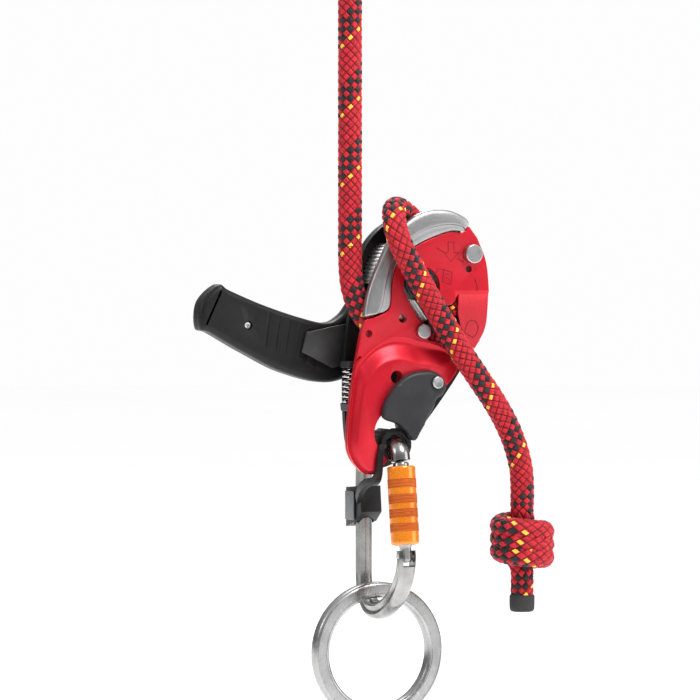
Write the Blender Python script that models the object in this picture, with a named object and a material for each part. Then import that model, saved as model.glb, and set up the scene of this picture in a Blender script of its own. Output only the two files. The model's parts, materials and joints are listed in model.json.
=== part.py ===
"""A self-braking rope descender, rigged on a 13 mm rope and clipped to a ring by a locking carabiner.

The two side plates stand in the XZ plane. The hinged plate faces -Y and the fixed plate faces +Y.
Z runs up along the loaded rope, and the origin is the centre of the cam axle.
Lengths are in millimetres and become metres where a mesh or a curve is made.
"""

import math

import bmesh
import bpy
from mathutils import Vector

MM = 0.001

# Driving dimensions
ROPE_DIAMETER = 13.0
GAP = 7.5                    # half of the space between the side plates
PLATE = 3.5                  # thickness of each side plate
FIT = 0.3                    # gap between pieces that touch
HOOD = 7.5                   # how far the hood stands out from the inner face of the hinged plate
CAM_AXIS = (0.0, 0.0)
PLATE_PIVOT = (30.6, 16.1)
STUD = (0.5, -26.6)
GATE_RIVET = (5.0, -54.7)
CATCH_PIVOT = (-22.0, -54.0)
COVER_RIVETS = ((-20.0, 11.0), (14.0, -25.0))
HOLE_CENTRE = (-17.5, -82.4)
HOLE_RADIUS = 12.0
CARABINER_X = -17.5
BAR_RADIUS = 5.3
SPINE_HALF_WIDTH = 4.3
BAR_Z = HOLE_CENTRE[1] - HOLE_RADIUS + BAR_RADIUS + FIT
SPINE_Y = 27.0
GATE_HINGE = (-27.3, -149.5)     # Y and Z of the carabiner's gate hinge
GATE_TOP = (-20.6, -98.1)        # Y and Z of the top of the carabiner's gate
RING_CENTRE = (-16.5, 12.0, -205.2)
RING_RADIUS = 39.0
RING_BORE = 30.3
HANDLE_FRONT = 17.2
HANDLE_BACK = 30.2

FRONT = -GAP - PLATE             # outer face of the hinged plate
BACK = GAP + PLATE               # outer face of the fixed plate
HOOD_FACE = -GAP - HOOD


# Tools

def clear_scene():
    for obj in list(bpy.data.objects):
        bpy.data.objects.remove(obj, do_unlink=True)


def material(name, colour, roughness, metallic):
    mat = bpy.data.materials.new(name)
    mat.use_nodes = True
    shader = mat.node_tree.nodes["Principled BSDF"]
    shader.inputs["Base Color"].default_value = (*colour, 1.0)
    shader.inputs["Roughness"].default_value = roughness
    shader.inputs["Metallic"].default_value = metallic
    return mat


def link(obj, mat):
    bpy.context.collection.objects.link(obj)
    if mat:
        obj.data.materials.append(mat)
    else:
        obj.hide_render = True
        obj.display_type = "WIRE"
    return obj


def solid(name, bm, mat, origin):
    """Turn a bmesh in world millimetres into an object whose origin lies at the given point."""
    bmesh.ops.recalc_face_normals(bm, faces=bm.faces)
    bmesh.ops.translate(bm, vec=-Vector(origin), verts=bm.verts)
    bmesh.ops.scale(bm, vec=(MM, MM, MM), verts=bm.verts)
    mesh = bpy.data.meshes.new(name)
    bm.to_mesh(mesh)
    bm.free()
    mesh.shade_smooth()
    mesh.set_sharp_from_angle(angle=math.radians(35))
    obj = bpy.data.objects.new(name, mesh)
    obj.location = Vector(origin) * MM
    return link(obj, mat)


def prism(name, outline, y_front, y_back, mat=None, bevel=0.0, origin=(0, 0, 0)):
    """A plate: an outline in X and Z, extruded along Y."""
    bm = bmesh.new()
    face = bm.faces.new([bm.verts.new((x, y_front, z)) for x, z in outline])
    made = bmesh.ops.extrude_face_region(bm, geom=[face])
    moved = [item for item in made["geom"] if isinstance(item, bmesh.types.BMVert)]
    bmesh.ops.translate(bm, vec=(0, y_back - y_front, 0), verts=moved)
    obj = solid(name, bm, mat, origin)
    if bevel:
        edge = obj.modifiers.new("Rounded edges", "BEVEL")
        edge.width = bevel * MM
        edge.segments = 2
        edge.limit_method = "ANGLE"
        edge.angle_limit = math.radians(50)
    return obj


def turned(name, centre, axis, profile, mat=None, sides=20, hollow=False, origin=None):
    """A turned piece: profile is (radius, distance along the axis) from one end to the other."""
    axis = Vector(axis).normalized()
    across = axis.orthogonal().normalized()
    other = axis.cross(across)
    bm = bmesh.new()
    rings = []
    for radius, along in profile:
        middle = Vector(centre) + axis * along
        ring = []
        for index in range(sides):
            angle = 2 * math.pi * index / sides
            ring.append(bm.verts.new(middle + radius * (math.cos(angle) * across + math.sin(angle) * other)))
        rings.append(ring)
    pairs = list(zip(rings, rings[1:]))
    if hollow:
        pairs.append((rings[-1], rings[0]))
    else:
        bm.faces.new(rings[0])
        bm.faces.new(rings[-1])
    for lower, upper in pairs:
        for index in range(sides):
            after = (index + 1) % sides
            bm.faces.new((lower[index], lower[after], upper[after], upper[index]))
    return solid(name, bm, mat, centre if origin is None else origin)


def tube_profile(inner, outer, start, end):
    """The closed profile of a plain bush or sleeve."""
    return [(inner, start), (outer, start), (outer, end), (inner, end)]


def swept(name, points, section_at, mat, origin):
    """Carry a section along a path near a plane of constant X; section_at(point) gives its offsets."""
    bm = bmesh.new()
    rings = []
    for index, (x, y, z) in enumerate(points):
        before = Vector(points[max(index - 1, 0)])
        after = Vector(points[min(index + 1, len(points) - 1)])
        along = (after - before).normalized()
        normal = Vector((0, along.z, -along.y))
        rings.append([bm.verts.new(Vector((x + a, y, z)) + normal * b) for a, b in section_at((x, y, z))])
    bm.faces.new(rings[0])
    bm.faces.new(rings[-1])
    count = len(rings[0])
    for lower, upper in zip(rings, rings[1:]):
        for index in range(count):
            after = (index + 1) % count
            bm.faces.new((lower[index], lower[after], upper[after], upper[index]))
    return solid(name, bm, mat, origin)


def cord(name, points, diameter, mat, resolution=2, cyclic=False):
    """A round cord along a poly line."""
    curve = bpy.data.curves.new(name, "CURVE")
    curve.dimensions = "3D"
    curve.bevel_depth = diameter / 2 * MM
    curve.bevel_resolution = resolution
    curve.use_fill_caps = not cyclic
    spline = curve.splines.new("POLY")
    spline.points.add(len(points) - 1)
    for target, point in zip(spline.points, points):
        target.co = (*(Vector(point) * MM), 1.0)
    spline.use_cyclic_u = cyclic
    return link(bpy.data.objects.new(name, curve), mat)


def combine(obj, other, operation):
    """Add or cut another solid, which stays as a hidden guide."""
    other.hide_render = True
    other.display_type = "WIRE"
    step = obj.modifiers.new(operation.title(), "BOOLEAN")
    step.operation = operation
    step.solver = "EXACT"
    step.object = other


def drill(obj, holes, y_front, y_back):
    """Cut round holes through a plate; each hole is (x, z, radius)."""
    for number, (x, z, radius) in enumerate(holes):
        cutter = turned(f"{obj.name}_hole_{number}", (x, 0, z), (0, 1, 0),
                        [(radius, y_front), (radius, y_back)], sides=18)
        combine(obj, cutter, "DIFFERENCE")


def catmull(points, steps, closed=False):
    """A smooth curve through points of any dimension."""
    points = [Vector(point) for point in points]
    count = len(points)
    spans = count if closed else count - 1
    curve = []
    for index in range(spans):
        if closed:
            a, b, c, d = (points[(index + shift) % count] for shift in (-1, 0, 1, 2))
        else:
            b, c = points[index], points[index + 1]
            a = points[index - 1] if index else b * 2 - c
            d = points[index + 2] if index + 2 < count else c * 2 - b
        for step in range(steps):
            t = step / steps
            curve.append(0.5 * (2 * b + (c - a) * t + (2 * a - 5 * b + 4 * c - d) * t ** 2
                                + (3 * b - a - 3 * c + d) * t ** 3))
    if not closed:
        curve.append(points[-1])
    return curve


def arc(centre, radius, start, end, steps):
    """Points on an arc in a plane, angles in degrees."""
    points = []
    for index in range(steps + 1):
        angle = math.radians(start + (end - start) * index / steps)
        points.append((centre[0] + radius * math.cos(angle), centre[1] + radius * math.sin(angle)))
    return points


def even_route(route, spacing):
    """Read points at an even spacing from the smooth curve through a route."""
    fine = catmull(route, 24)
    total = sum((b - a).length for a, b in zip(fine, fine[1:]))
    count = max(2, round(total / spacing))
    points = [fine[0]]
    walked = 0.0
    for a, b in zip(fine, fine[1:]):
        step = (b - a).length
        while len(points) < count and walked + step >= total * len(points) / count:
            share = (total * len(points) / count - walked) / step
            points.append(a.lerp(b, share))
        walked += step
    points.append(fine[-1])
    return points


# Outlines of the flat pieces, as (x, z)

RIM_OUTER = [(-35.5, -19.0), (-33.0, -6.0), (-29.4, 4.4), (-25.5, 13.0), (-21.4, 21.1), (-17.0, 27.0),
             (-12.2, 31.8), (-7.5, 35.3), (-3.0, 37.8), (4.5, 40.2), (12.2, 40.5), (18.5, 39.6), (24.5, 37.2),
             (28.0, 34.5), (28.5, 31.5)]
RIM_INNER = [(25.0, 28.4), (17.2, 28.6), (6.1, 25.2), (-3.1, 21.1), (-10.0, 16.5), (-15.3, 11.0), (-18.4, 1.7),
             (-19.6, -12.2), (-24.5, -16.4)]


def hinged_plate_outline():
    """The hinged plate: rim seat, right lobe, C-shaped notch, hood, hook and carabiner slot."""
    seat = [(-34.5, -20.2), (-24.3, -17.1), (-19.1, -12.6), (-17.9, 1.4), (-14.9, 10.5), (-9.6, 16.0),
            (-2.8, 20.6), (6.2, 24.7), (17.2, 28.1), (25.4, 27.8), (29.2, 31.4)]
    lobe = catmull([(34.3, 25.0), (39.8, 11.7), (41.6, -3.9), (41.6, -15.0), (39.8, -26.0), (33.7, -36.5)], 2)
    notch = [(30.0, -34.0), (25.0, -24.0), (23.4, -17.0), (23.6, -6.0), (18.6, -12.0), (13.0, -13.0)]
    notch += arc((0.0, -2.0), 11.0, -42, 190, 12)
    notch += [(-7.6, -11.0), (-1.2, -20.5), (3.2, -23.2), (4.6, -27.0), (4.0, -31.5), (11.0, -33.2)]
    tip = [(16.5, -37.5), (18.6, -42.7), (22.6, -48.3), (16.0, -56.5), (9.0, -62.5), (-3.0, -67.5)]
    slot = arc(HOLE_CENTRE, HOLE_RADIUS, 75, 255, 12)
    hook = [(-21.5, -98.4), (-26.5, -103.2), (-30.5, -105.3)]
    flank = catmull([(-36.7, -103.6), (-43.3, -95.5), (-45.3, -86.0), (-43.5, -65.0), (-40.5, -46.0),
                     (-37.0, -28.0)], 2)
    return seat + [tuple(p) for p in lobe] + notch + tip + slot + hook + [tuple(p) for p in flank]


HOOD_OUTLINE = [(-29.0, -46.0), (-20.0, -42.0), (-10.0, -40.6), (0.0, -41.2), (8.0, -44.5), (12.0, -49.0),
                (9.5, -55.0), (4.0, -60.5), (-6.0, -63.5), (-18.0, -67.0), (-25.5, -71.5), (-29.5, -77.5),
                (-31.5, -86.0), (-31.5, -99.0), (-35.0, -101.2), (-40.6, -96.0), (-42.2, -87.0), (-40.2, -68.0),
                (-36.0, -54.0)]

FIXED_PLATE = [(-26.0, 19.0), (-20.0, 27.0), (-12.0, 33.0), (0.0, 38.0), (12.0, 39.5), (24.0, 36.0),
               (34.0, 27.0), (40.0, 13.0), (41.5, -2.0), (41.5, -15.0), (40.0, -28.0), (37.5, -40.0),
               (33.0, -49.0), (23.0, -63.0), (11.0, -78.0), (0.5, -90.0), (-4.5, -98.0), (-16.0, -102.6),
               (-27.0, -100.5), (-35.0, -93.0), (-37.8, -80.0), (-38.6, -60.0), (-38.0, -40.0),
               (-36.5, -25.0), (-33.5, -8.0), (-30.0, 8.0)]

REAR_COVER = [(-25.5, 20.0), (-19.0, 28.0), (-11.0, 33.6), (0.0, 37.5), (12.0, 38.0), (23.0, 34.5),
              (32.0, 26.0), (37.0, 13.0), (37.5, -2.0), (34.0, -17.0), (27.0, -28.0), (16.0, -34.5),
              (3.0, -37.5), (-10.0, -36.5), (-21.0, -31.0), (-28.5, -21.0), (-31.5, -8.0), (-30.5, 8.0)]

FRICTION_BLOCK = [(32.6, -19.0), (38.5, -20.0), (38.0, -33.0), (30.5, -42.5), (15.0, -46.0), (13.0, -42.0),
                  (20.0, -39.0), (27.0, -33.0), (31.0, -26.0)]

GUIDE_INSERT = [(-29.0, 0.0), (-26.5, 9.5), (-22.0, 18.5), (-18.0, 22.0), (-14.5, 19.5), (-18.5, 14.5),
                (-22.0, 7.0), (-24.0, 0.0)]

SAFETY_GATE = [(-27.5, -72.3), (-25.6, -64.5), (-18.5, -54.7), (-10.5, -49.6), (0.5, -48.2), (7.2, -50.3),
               (11.2, -56.0), (9.8, -60.8), (4.0, -68.0), (-1.2, -77.5), (-3.5, -82.0), (-4.6, -86.6),
               (-7.6, -84.2), (-10.0, -79.6), (-14.5, -77.0), (-20.0, -76.6)]

CATCH = [(-26.0, -55.5), (-25.0, -58.0), (-21.0, -58.5), (-18.0, -55.5), (-18.8, -51.5), (-22.5, -48.0),
         (-25.5, -42.5), (-28.5, -40.5), (-29.3, -43.0), (-27.5, -49.5)]

CRANK_ARM = [(-30.0, -22.0), (-58.0, -27.0), (-61.0, -38.0), (-42.0, -47.0), (-22.0, -40.0)]

CAM_LEVER = [(-4.4, -9.2), (2.6, -9.2), (9.0, -17.6), (3.6, -20.4)]
CAM_TIP = [(3.9, -20.9), (9.2, -18.1), (13.6, -26.4), (9.2, -28.0)]


CLIP_OUTLINE = [(18.6, -113.0), (37.0, -114.5), (37.0, -136.5), (24.0, -133.0), (17.0, -127.5)]   # y, z


def handle_outline(half_root, half_end):
    """The grip: a bent paddle from the hub to the far left, half widths at its root and its end."""
    spine = [(Vector(p), half) for p, half in (
        ((-10.0, -13.0), half_root * 0.80), ((-24.0, -30.0), half_root * 0.95), ((-42.0, -38.5), half_root),
        ((-64.0, -34.5), half_root * 0.97), ((-88.0, -25.0), half_end * 1.10), ((-108.0, -15.5), half_end))]
    upper = []
    lower = []
    for index, (point, half) in enumerate(spine):
        before = spine[max(index - 1, 0)][0]
        after = spine[min(index + 1, len(spine) - 1)][0]
        along = (after - before).normalized()
        side = Vector((along.y, -along.x))
        upper.append(point + side * half)
        lower.append(point - side * half)
    along = (spine[-1][0] - spine[-2][0]).normalized()
    end = [upper[-1] + along * half_end * 0.55, spine[-1][0] + along * half_end * 0.95,
           lower[-1] + along * half_end * 0.55]
    return [tuple(p) for p in catmull(upper + end + lower[::-1], 3, closed=True)]


def cam_outline():
    """An eccentric disc that stays inside the turn of the rope."""
    points = []
    for index in range(40):
        angle = 2 * math.pi * index / 40
        radius = 18.6 + 4.2 * math.cos(angle - math.radians(235))
        points.append((radius * math.cos(angle), radius * math.sin(angle)))
    return points


# The rope's route: down to the device, round the cam, over the rim and down across the front

LIVE_ROUTE = [(-38.6, 0, 158.0), (-38.6, 0, 120.0), (-38.6, 0, 80.0), (-38.6, 0, 50.0), (-38.6, 0, 20.3)]
WRAP_ROUTE = [(-38.6, 0, 20.0), (-38.4, 0, 9.0), (-36.6, 0, -4.0), (-31.2, 0, -16.5), (-21.0, 0, -27.0),
              (-8.0, 0, -33.0), (6.0, 0, -33.4), (16.8, 0, -27.2), (23.0, 0, -17.0), (24.8, 0, -5.4),
              (22.6, 0, 4.6), (19.2, 0, 11.4), (14.4, 0, 17.9), (9.6, 0, 23.4), (4.8, 0, 28.9)]
TAIL_ROUTE = [(4.4, 0, 29.35), (-0.2, 0, 34.4), (-5.6, -0.3, 38.7), (-11.0, -3.6, 41.1), (-15.8, -9.0, 40.5),
              (-19.0, -15.2, 36.4), (-20.2, -20.0, 29.8), (-18.4, -22.2, 22.0), (-13.6, -21.6, 13.6),
              (-7.6, -20.2, 4.6), (-0.8, -19.0, -5.6), (6.6, -18.6, -16.8), (14.4, -18.4, -28.6),
              (22.6, -18.8, -41.0), (31.2, -19.0, -52.8), (39.8, -19.0, -64.4), (47.4, -19.0, -76.4),
              (53.4, -19.0, -89.0), (57.2, -19.0, -102.0), (58.2, -19.0, -113.0), (58.2, -19.0, -124.0)]
LOOP_CENTRE = (-38.6, 0.0, 215.0)


def rope(mats):
    cord("rope_live", even_route(LIVE_ROUTE, 26.0), ROPE_DIAMETER, mats["rope"])
    cord("rope_wrap", even_route(WRAP_ROUTE, 8.0), ROPE_DIAMETER, mats["rope"])
    cord("rope_tail", even_route(TAIL_ROUTE, 8.0), ROPE_DIAMETER, mats["rope"])
    x, y, z = LOOP_CENTRE
    loop = [(x + 13.5 * math.cos(a), y, z + 15.5 * math.sin(a))
            for a in (math.radians(-68 + 316 * step / 20) for step in range(21))]
    foot_right = [(x + 6.6, y, 192.0), (x + 6.6, y, 195.0)]
    foot_left = [(x - 6.6, y, 195.0), (x - 6.6, y, 192.0)]
    cord("rope_eye", foot_right + loop + foot_left, 12.6, mats["rope"])
    turned("eye_sleeve", (x, y, 0), (0, 0, 1), [(7.4, 158.3), (9.6, 161.0), (13.6, 172.0), (13.9, 191.7)],
           mats["rubber"], sides=16)
    x, y, z = TAIL_ROUTE[-1]
    turned("stopper_knot", (x, y, z - FIT), (0, 0, -1),
           [(8.0, 0), (16.5, 4.0), (18.6, 12.0), (18.6, 27.0), (16.5, 34.0), (6.6, 39.0), (6.4, 60.0)],
           mats["rope"], sides=16)


# Side plates and what is fixed to them

def fixed_side_plate(mats):
    outline = [tuple(p) for p in catmull(FIXED_PLATE, 2, closed=True)]
    plate = prism("fixed_side_plate", outline, GAP, BACK, mats["plate_black"], bevel=0.6)
    drill(plate, [(*HOLE_CENTRE, HOLE_RADIUS), (*PLATE_PIVOT, 4.3), (*CAM_AXIS, 8.3), (*CATCH_PIVOT, 2.3),
                  (18.5, -42.6, 2.3), (34.0, -28.0, 2.3), *((x, z, 1.9) for x, z in COVER_RIVETS)], 0, 20)


def hinged_side_plate(mats):
    plate = prism("hinged_side_plate", hinged_plate_outline(), FRONT, -GAP, mats["red"], bevel=0.5)
    hood = prism("hood_form", [tuple(p) for p in catmull(HOOD_OUTLINE, 2, closed=True)],
                 HOOD_FACE, -GAP - 1.0, None, bevel=3.0)
    combine(plate, hood, "UNION")
    step = prism("lobe_step", [(20.0, -6.0), (48.0, -6.0), (48.0, -42.0), (26.0, -42.0)], -16.0, FRONT + 1.6)
    combine(plate, step, "DIFFERENCE")
    drill(plate, [(*PLATE_PIVOT, 4.3), (*STUD, 2.6), (*GATE_RIVET, 2.3), (29.0, 7.6, 1.7), (-11.6, -19.4, 2.4),
                  (-32.2, -27.7, 2.0), (-17.0, -51.6, 3.6)], -30, 0)


def rope_guide_rim(mats):
    outer = [tuple(p) for p in catmull(RIM_OUTER, 2)]
    inner = [tuple(p) for p in catmull(RIM_INNER, 2)]
    prism("rope_guide_rim", outer + inner, FRONT - 2.4, -GAP, mats["steel"], bevel=1.4)


def pins(mats):
    """Pins and rivets along Y, each as a head, a shank and a foot."""
    x, z = PLATE_PIVOT
    turned("plate_pivot_pin", (x, 0, z), (0, 1, 0),
           [(4.9, FRONT - 4.2), (5.3, FRONT - 3.8), (5.3, FRONT - FIT), (4.0, FRONT - FIT), (4.0, BACK + FIT),
            (5.4, BACK + FIT), (5.0, BACK + 2.4)], mats["steel"])
    turned("plate_spacer", (x, 0, z), (0, 1, 0), tube_profile(4.3, 5.0, -GAP + FIT, GAP - FIT), mats["steel"],
           hollow=True)
    x, z = STUD
    turned("locking_stud", (x, 0, z), (0, 1, 0),
           [(3.7, FRONT - 3.2), (4.1, FRONT - 2.8), (4.1, FRONT - FIT), (2.3, FRONT - FIT), (2.3, -GAP + 0.2)],
           mats["steel"], sides=16)
    for number, (x, z) in enumerate(((18.5, -42.6), (34.0, -28.0)), start=1):
        turned(f"friction_block_pin_{number}", (x, 0, z), (0, 1, 0),
               [(2.0, -GAP + 0.6), (2.0, BACK + FIT), (3.2, BACK + FIT), (2.9, BACK + 1.3)], mats["steel"],
               sides=14)


def safety_gate(mats):
    x, z = GATE_RIVET
    pivot = (x, 0, z)
    turned("gate_rivet", pivot, (0, 1, 0),
           [(2.8, HOOD_FACE - 7.0), (3.4, HOOD_FACE - 6.5), (3.4, HOOD_FACE - 5.8), (2.0, HOOD_FACE - 5.8),
            (2.0, -GAP + 0.2)], mats["steel"], sides=16)
    gate = prism("safety_gate", SAFETY_GATE, HOOD_FACE - 5.5, HOOD_FACE - 1.5, mats["charcoal"], bevel=1.0,
                 origin=pivot)
    drill(gate, [(x, z, 2.3)], HOOD_FACE - 12, HOOD_FACE + 4)
    turned("gate_spring", pivot, (0, 1, 0), tube_profile(2.3, 3.4, HOOD_FACE - 1.2, HOOD_FACE - FIT),
           mats["steel"], sides=14, hollow=True)


# Cam, axle and the parts between the plates

def cam_group(mats):
    axis = (0, 0, 0)
    cam = prism("cam", cam_outline(), -GAP + 1.0, GAP - 1.0, mats["steel"], origin=axis)
    groove = turned("cam_groove", axis, (0, 1, 0),
                    [(12.5, -0.6), (27.0, -5.6), (27.0, 5.6), (12.5, 0.6)], sides=36, hollow=True)
    combine(cam, groove, "DIFFERENCE")
    drill(cam, [(*CAM_AXIS, 8.3)], -12, 12)
    turned("cam_bush", axis, (0, 1, 0), tube_profile(6.3, 8.0, -GAP + 1.0, GAP - 1.0), mats["bronze"], hollow=True)
    turned("cam_axle", axis, (0, 1, 0),
           [(5.0, -10.6), (6.0, -9.8), (6.0, GAP - FIT), (8.0, GAP - FIT), (8.0, BACK + 0.3), (5.0, BACK + 0.3),
            (5.0, 25.0)], mats["steel"], sides=24)
    turned("axle_cap", axis, (0, 1, 0), tube_profile(6.3, 8.6, -9.4, -GAP + 0.7), mats["charcoal"], hollow=True)
    prism("cam_lever", CAM_LEVER, -9.2, -GAP + 0.6, mats["steel"], bevel=0.4, origin=axis)
    prism("cam_lever_tip", CAM_TIP, -9.0, -GAP + 0.6, mats["charcoal"], bevel=0.4, origin=axis)
    block = prism("friction_block", FRICTION_BLOCK, -GAP + 0.4, GAP - FIT, mats["steel"], bevel=0.6)
    drill(block, [(18.5, -42.6, 2.3), (34.0, -28.0, 2.3)], -12, 12)
    prism("rope_guide_insert", GUIDE_INSERT, -GAP + FIT, GAP - FIT, mats["steel"], bevel=0.8)


def catch_group(mats):
    x, z = CATCH_PIVOT
    pivot = (x, 0, z)
    catch = prism("anti_error_catch", CATCH, -3.0, 3.0, mats["steel"], bevel=0.5, origin=pivot)
    drill(catch, [(x, z, 2.3)], -8, 8)
    turned("catch_pin", pivot, (0, 1, 0), [(3.0, -6.6), (3.0, -5.4), (2.0, -5.4), (2.0, BACK + 0.2)], mats["steel"],
           sides=14)
    turned("catch_spring", pivot, (0, 1, 0), tube_profile(2.4, 3.6, 3.4, 6.8), mats["steel"], sides=14, hollow=True)
    turns = 6.5
    steps = 78
    coil = []
    for step in range(steps + 1):
        angle = 2 * math.pi * turns * step / steps
        coil.append((-39.0 + 3.0 * math.cos(angle), 1.5 + 3.0 * math.sin(angle), -47.6 - 2.7 * turns * step / steps))
    cord("return_spring", coil, 1.1, mats["steel"], resolution=0)
    prism("spring_holder", [(-41.5, -66.2), (-36.0, -66.2), (-34.6, -70.5), (-41.0, -70.5)], -3.5, GAP - FIT,
          mats["charcoal"], bevel=0.5)
    prism("spring_seat", [(-41.3, -46.6), (-41.0, -43.0), (-33.0, -43.0), (-34.5, -46.6)], -3.5, GAP - FIT,
          mats["charcoal"], bevel=0.5)


def rear_cover(mats):
    cover = prism("rear_cover", [tuple(p) for p in catmull(REAR_COVER, 2, closed=True)], BACK + FIT, BACK + 3.2,
                  mats["black"], bevel=1.0)
    drill(cover, [(*CAM_AXIS, 15.2), (*PLATE_PIVOT, 6.2), *((x, z, 1.9) for x, z in COVER_RIVETS)], 0, 30)
    for number, (x, z) in enumerate(COVER_RIVETS, start=1):
        turned(f"cover_rivet_{number}", (x, 0, z), (0, 1, 0),
               [(1.6, GAP + FIT), (1.6, BACK + 3.5), (3.0, BACK + 3.5), (2.2, BACK + 4.4)], mats["steel"], sides=12)


# Handle

def handle(mats):
    axis = (0, 0, 0)
    middle = (HANDLE_FRONT + HANDLE_BACK) / 2
    hub = turned("handle_crank", axis, (0, 1, 0), tube_profile(5.3, 14.0, BACK + 1.0, 25.5), mats["dark_metal"],
                 sides=28, hollow=True)
    arm = prism("crank_arm", arc((0.0, 0.0), 13.4, -40, 150, 10) + CRANK_ARM, HANDLE_FRONT - 2.6,
                HANDLE_FRONT - FIT)
    combine(arm, turned("crank_bore", axis, (0, 1, 0), [(8.0, 0), (8.0, 40)]), "DIFFERENCE")
    combine(hub, arm, "UNION")
    button_bore = turned("button_bore", (0, 0, 9.6), (0, 1, 0), [(3.0, BACK + 3.5), (3.0, 40.0)], sides=14)
    combine(hub, button_bore, "DIFFERENCE")
    paddle = handle_outline(16.5, 13.0)
    shells = (("handle_shell_front", HANDLE_FRONT, middle - 0.15), ("handle_shell_back", middle + 0.15, HANDLE_BACK))
    for name, start, end in shells:
        shell = prism(name, paddle, start, end, mats["black"], bevel=2.6, origin=axis)
        combine(shell, turned(f"{name}_hub_seat", axis, (0, 1, 0), [(14.3, 0), (14.3, 60)], sides=28),
                "DIFFERENCE")
        drill(shell, [(-42.0, -38.5, 2.5), (-92.0, -23.0, 2.5)], 0, 60)
    for number, (x, z) in enumerate(((-42.0, -38.5), (-92.0, -23.0)), start=1):
        turned(f"handle_screw_{number}", (x, 0, z), (0, 1, 0),
               [(1.9, HANDLE_FRONT + 1.0), (2.2, HANDLE_FRONT + 1.4), (2.2, HANDLE_BACK - 0.6)], mats["steel"],
               sides=14, origin=axis)
    turned("handle_button", (0, 0, 9.6), (0, 1, 0), [(2.6, 21.0), (2.6, 29.4), (2.0, 30.0)], mats["yellow"], sides=14)
    turned("button_spring", (0, 0, 9.6), (0, 1, 0), tube_profile(1.5, 2.4, BACK + 4.0, 17.4), mats["steel"],
           sides=12, hollow=True)
    cap = turned("hub_cap", axis, (0, 1, 0), [(8.8, 25.8), (8.8, 27.2), (7.6, 28.2)],
                 mats["black"], sides=20)
    clearance = turned("cap_clearance", (0, 0, 9.6), (0, 1, 0), [(3.0, 20.0), (3.0, 40.0)], sides=14)
    combine(cap, clearance, "DIFFERENCE")


# Carabiner, positioning bar and ring

def oval(half_x, half_in_plane, sides=14):
    return [(half_x * math.cos(2 * math.pi * i / sides), half_in_plane * math.sin(2 * math.pi * i / sides))
            for i in range(sides)]


def carabiner(mats):
    axis = (CARABINER_X, 0, BAR_Z)
    route = [(-20.7, BAR_Z - 8.8), (-19.2, BAR_Z - 4.0), (-14.0, BAR_Z - 0.4), (-7.5, BAR_Z), (0.0, BAR_Z),
             (8.0, BAR_Z), (15.5, BAR_Z - 0.6), (22.4, BAR_Z - 4.2), (26.2, BAR_Z - 10.8), (SPINE_Y, -107.0),
             (SPINE_Y, -128.0), (SPINE_Y, -150.0), (SPINE_Y, -164.0), (24.8, -173.2), (17.5, -180.0),
             (6.5, -181.5), (-5.0, -178.4), (-16.5, -171.4), (-24.6, -162.0), (-28.0, -152.5), (-27.4, -146.4)]
    path = [(CARABINER_X, point.x, point.y) for point in catmull(route, 2)]

    def section_at(point):
        slimmer = max(0.0, min(1.0, (point[1] - 16.0) / 10.0))
        return oval(BAR_RADIUS + slimmer * (SPINE_HALF_WIDTH - BAR_RADIUS), BAR_RADIUS - 0.2)

    body = swept("carabiner_body", path, section_at, mats["aluminium"], axis)
    slot = prism("hinge_slot", [(CARABINER_X - 3.6, -155.0), (CARABINER_X + 3.6, -155.0),
                                (CARABINER_X + 3.6, -140.0), (CARABINER_X - 3.6, -140.0)], -40.0, -15.0)
    combine(body, slot, "DIFFERENCE")
    y, z = GATE_HINGE
    hinge = (CARABINER_X, y, z)
    pin_bore = turned("hinge_bore", hinge, (1, 0, 0), [(1.7, -10), (1.7, 10)], sides=12)
    combine(body, pin_bore, "DIFFERENCE")
    turned("gate_hinge_pin", hinge, (1, 0, 0), [(1.4, -5.4), (1.4, 5.4)], mats["steel"], sides=12)

    top = Vector((CARABINER_X, *GATE_TOP))
    along = (Vector(hinge) - top).normalized()
    length = (Vector(hinge) - top).length
    gate = turned("carabiner_gate", top, along,
                  [(3.6, 0.0), (4.4, 0.8), (4.4, length - 7.0), (3.2, length - 4.6), (3.2, length + 1.5),
                   (2.4, length + 3.4)], mats["aluminium"], sides=16, origin=hinge)
    combine(gate, pin_bore, "DIFFERENCE")
    turned("sleeve_collar", top, along, tube_profile(4.7, 5.6, 4.6, 44.0), mats["steel"], sides=18, hollow=True,
           origin=hinge)
    turned("lock_sleeve", top, along,
           [(5.9, 2.4), (7.4, 2.4), (7.9, 3.2), (7.9, 44.8), (7.4, 45.6), (5.9, 45.6)], mats["orange"], sides=20,
           hollow=True, origin=top)


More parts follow.
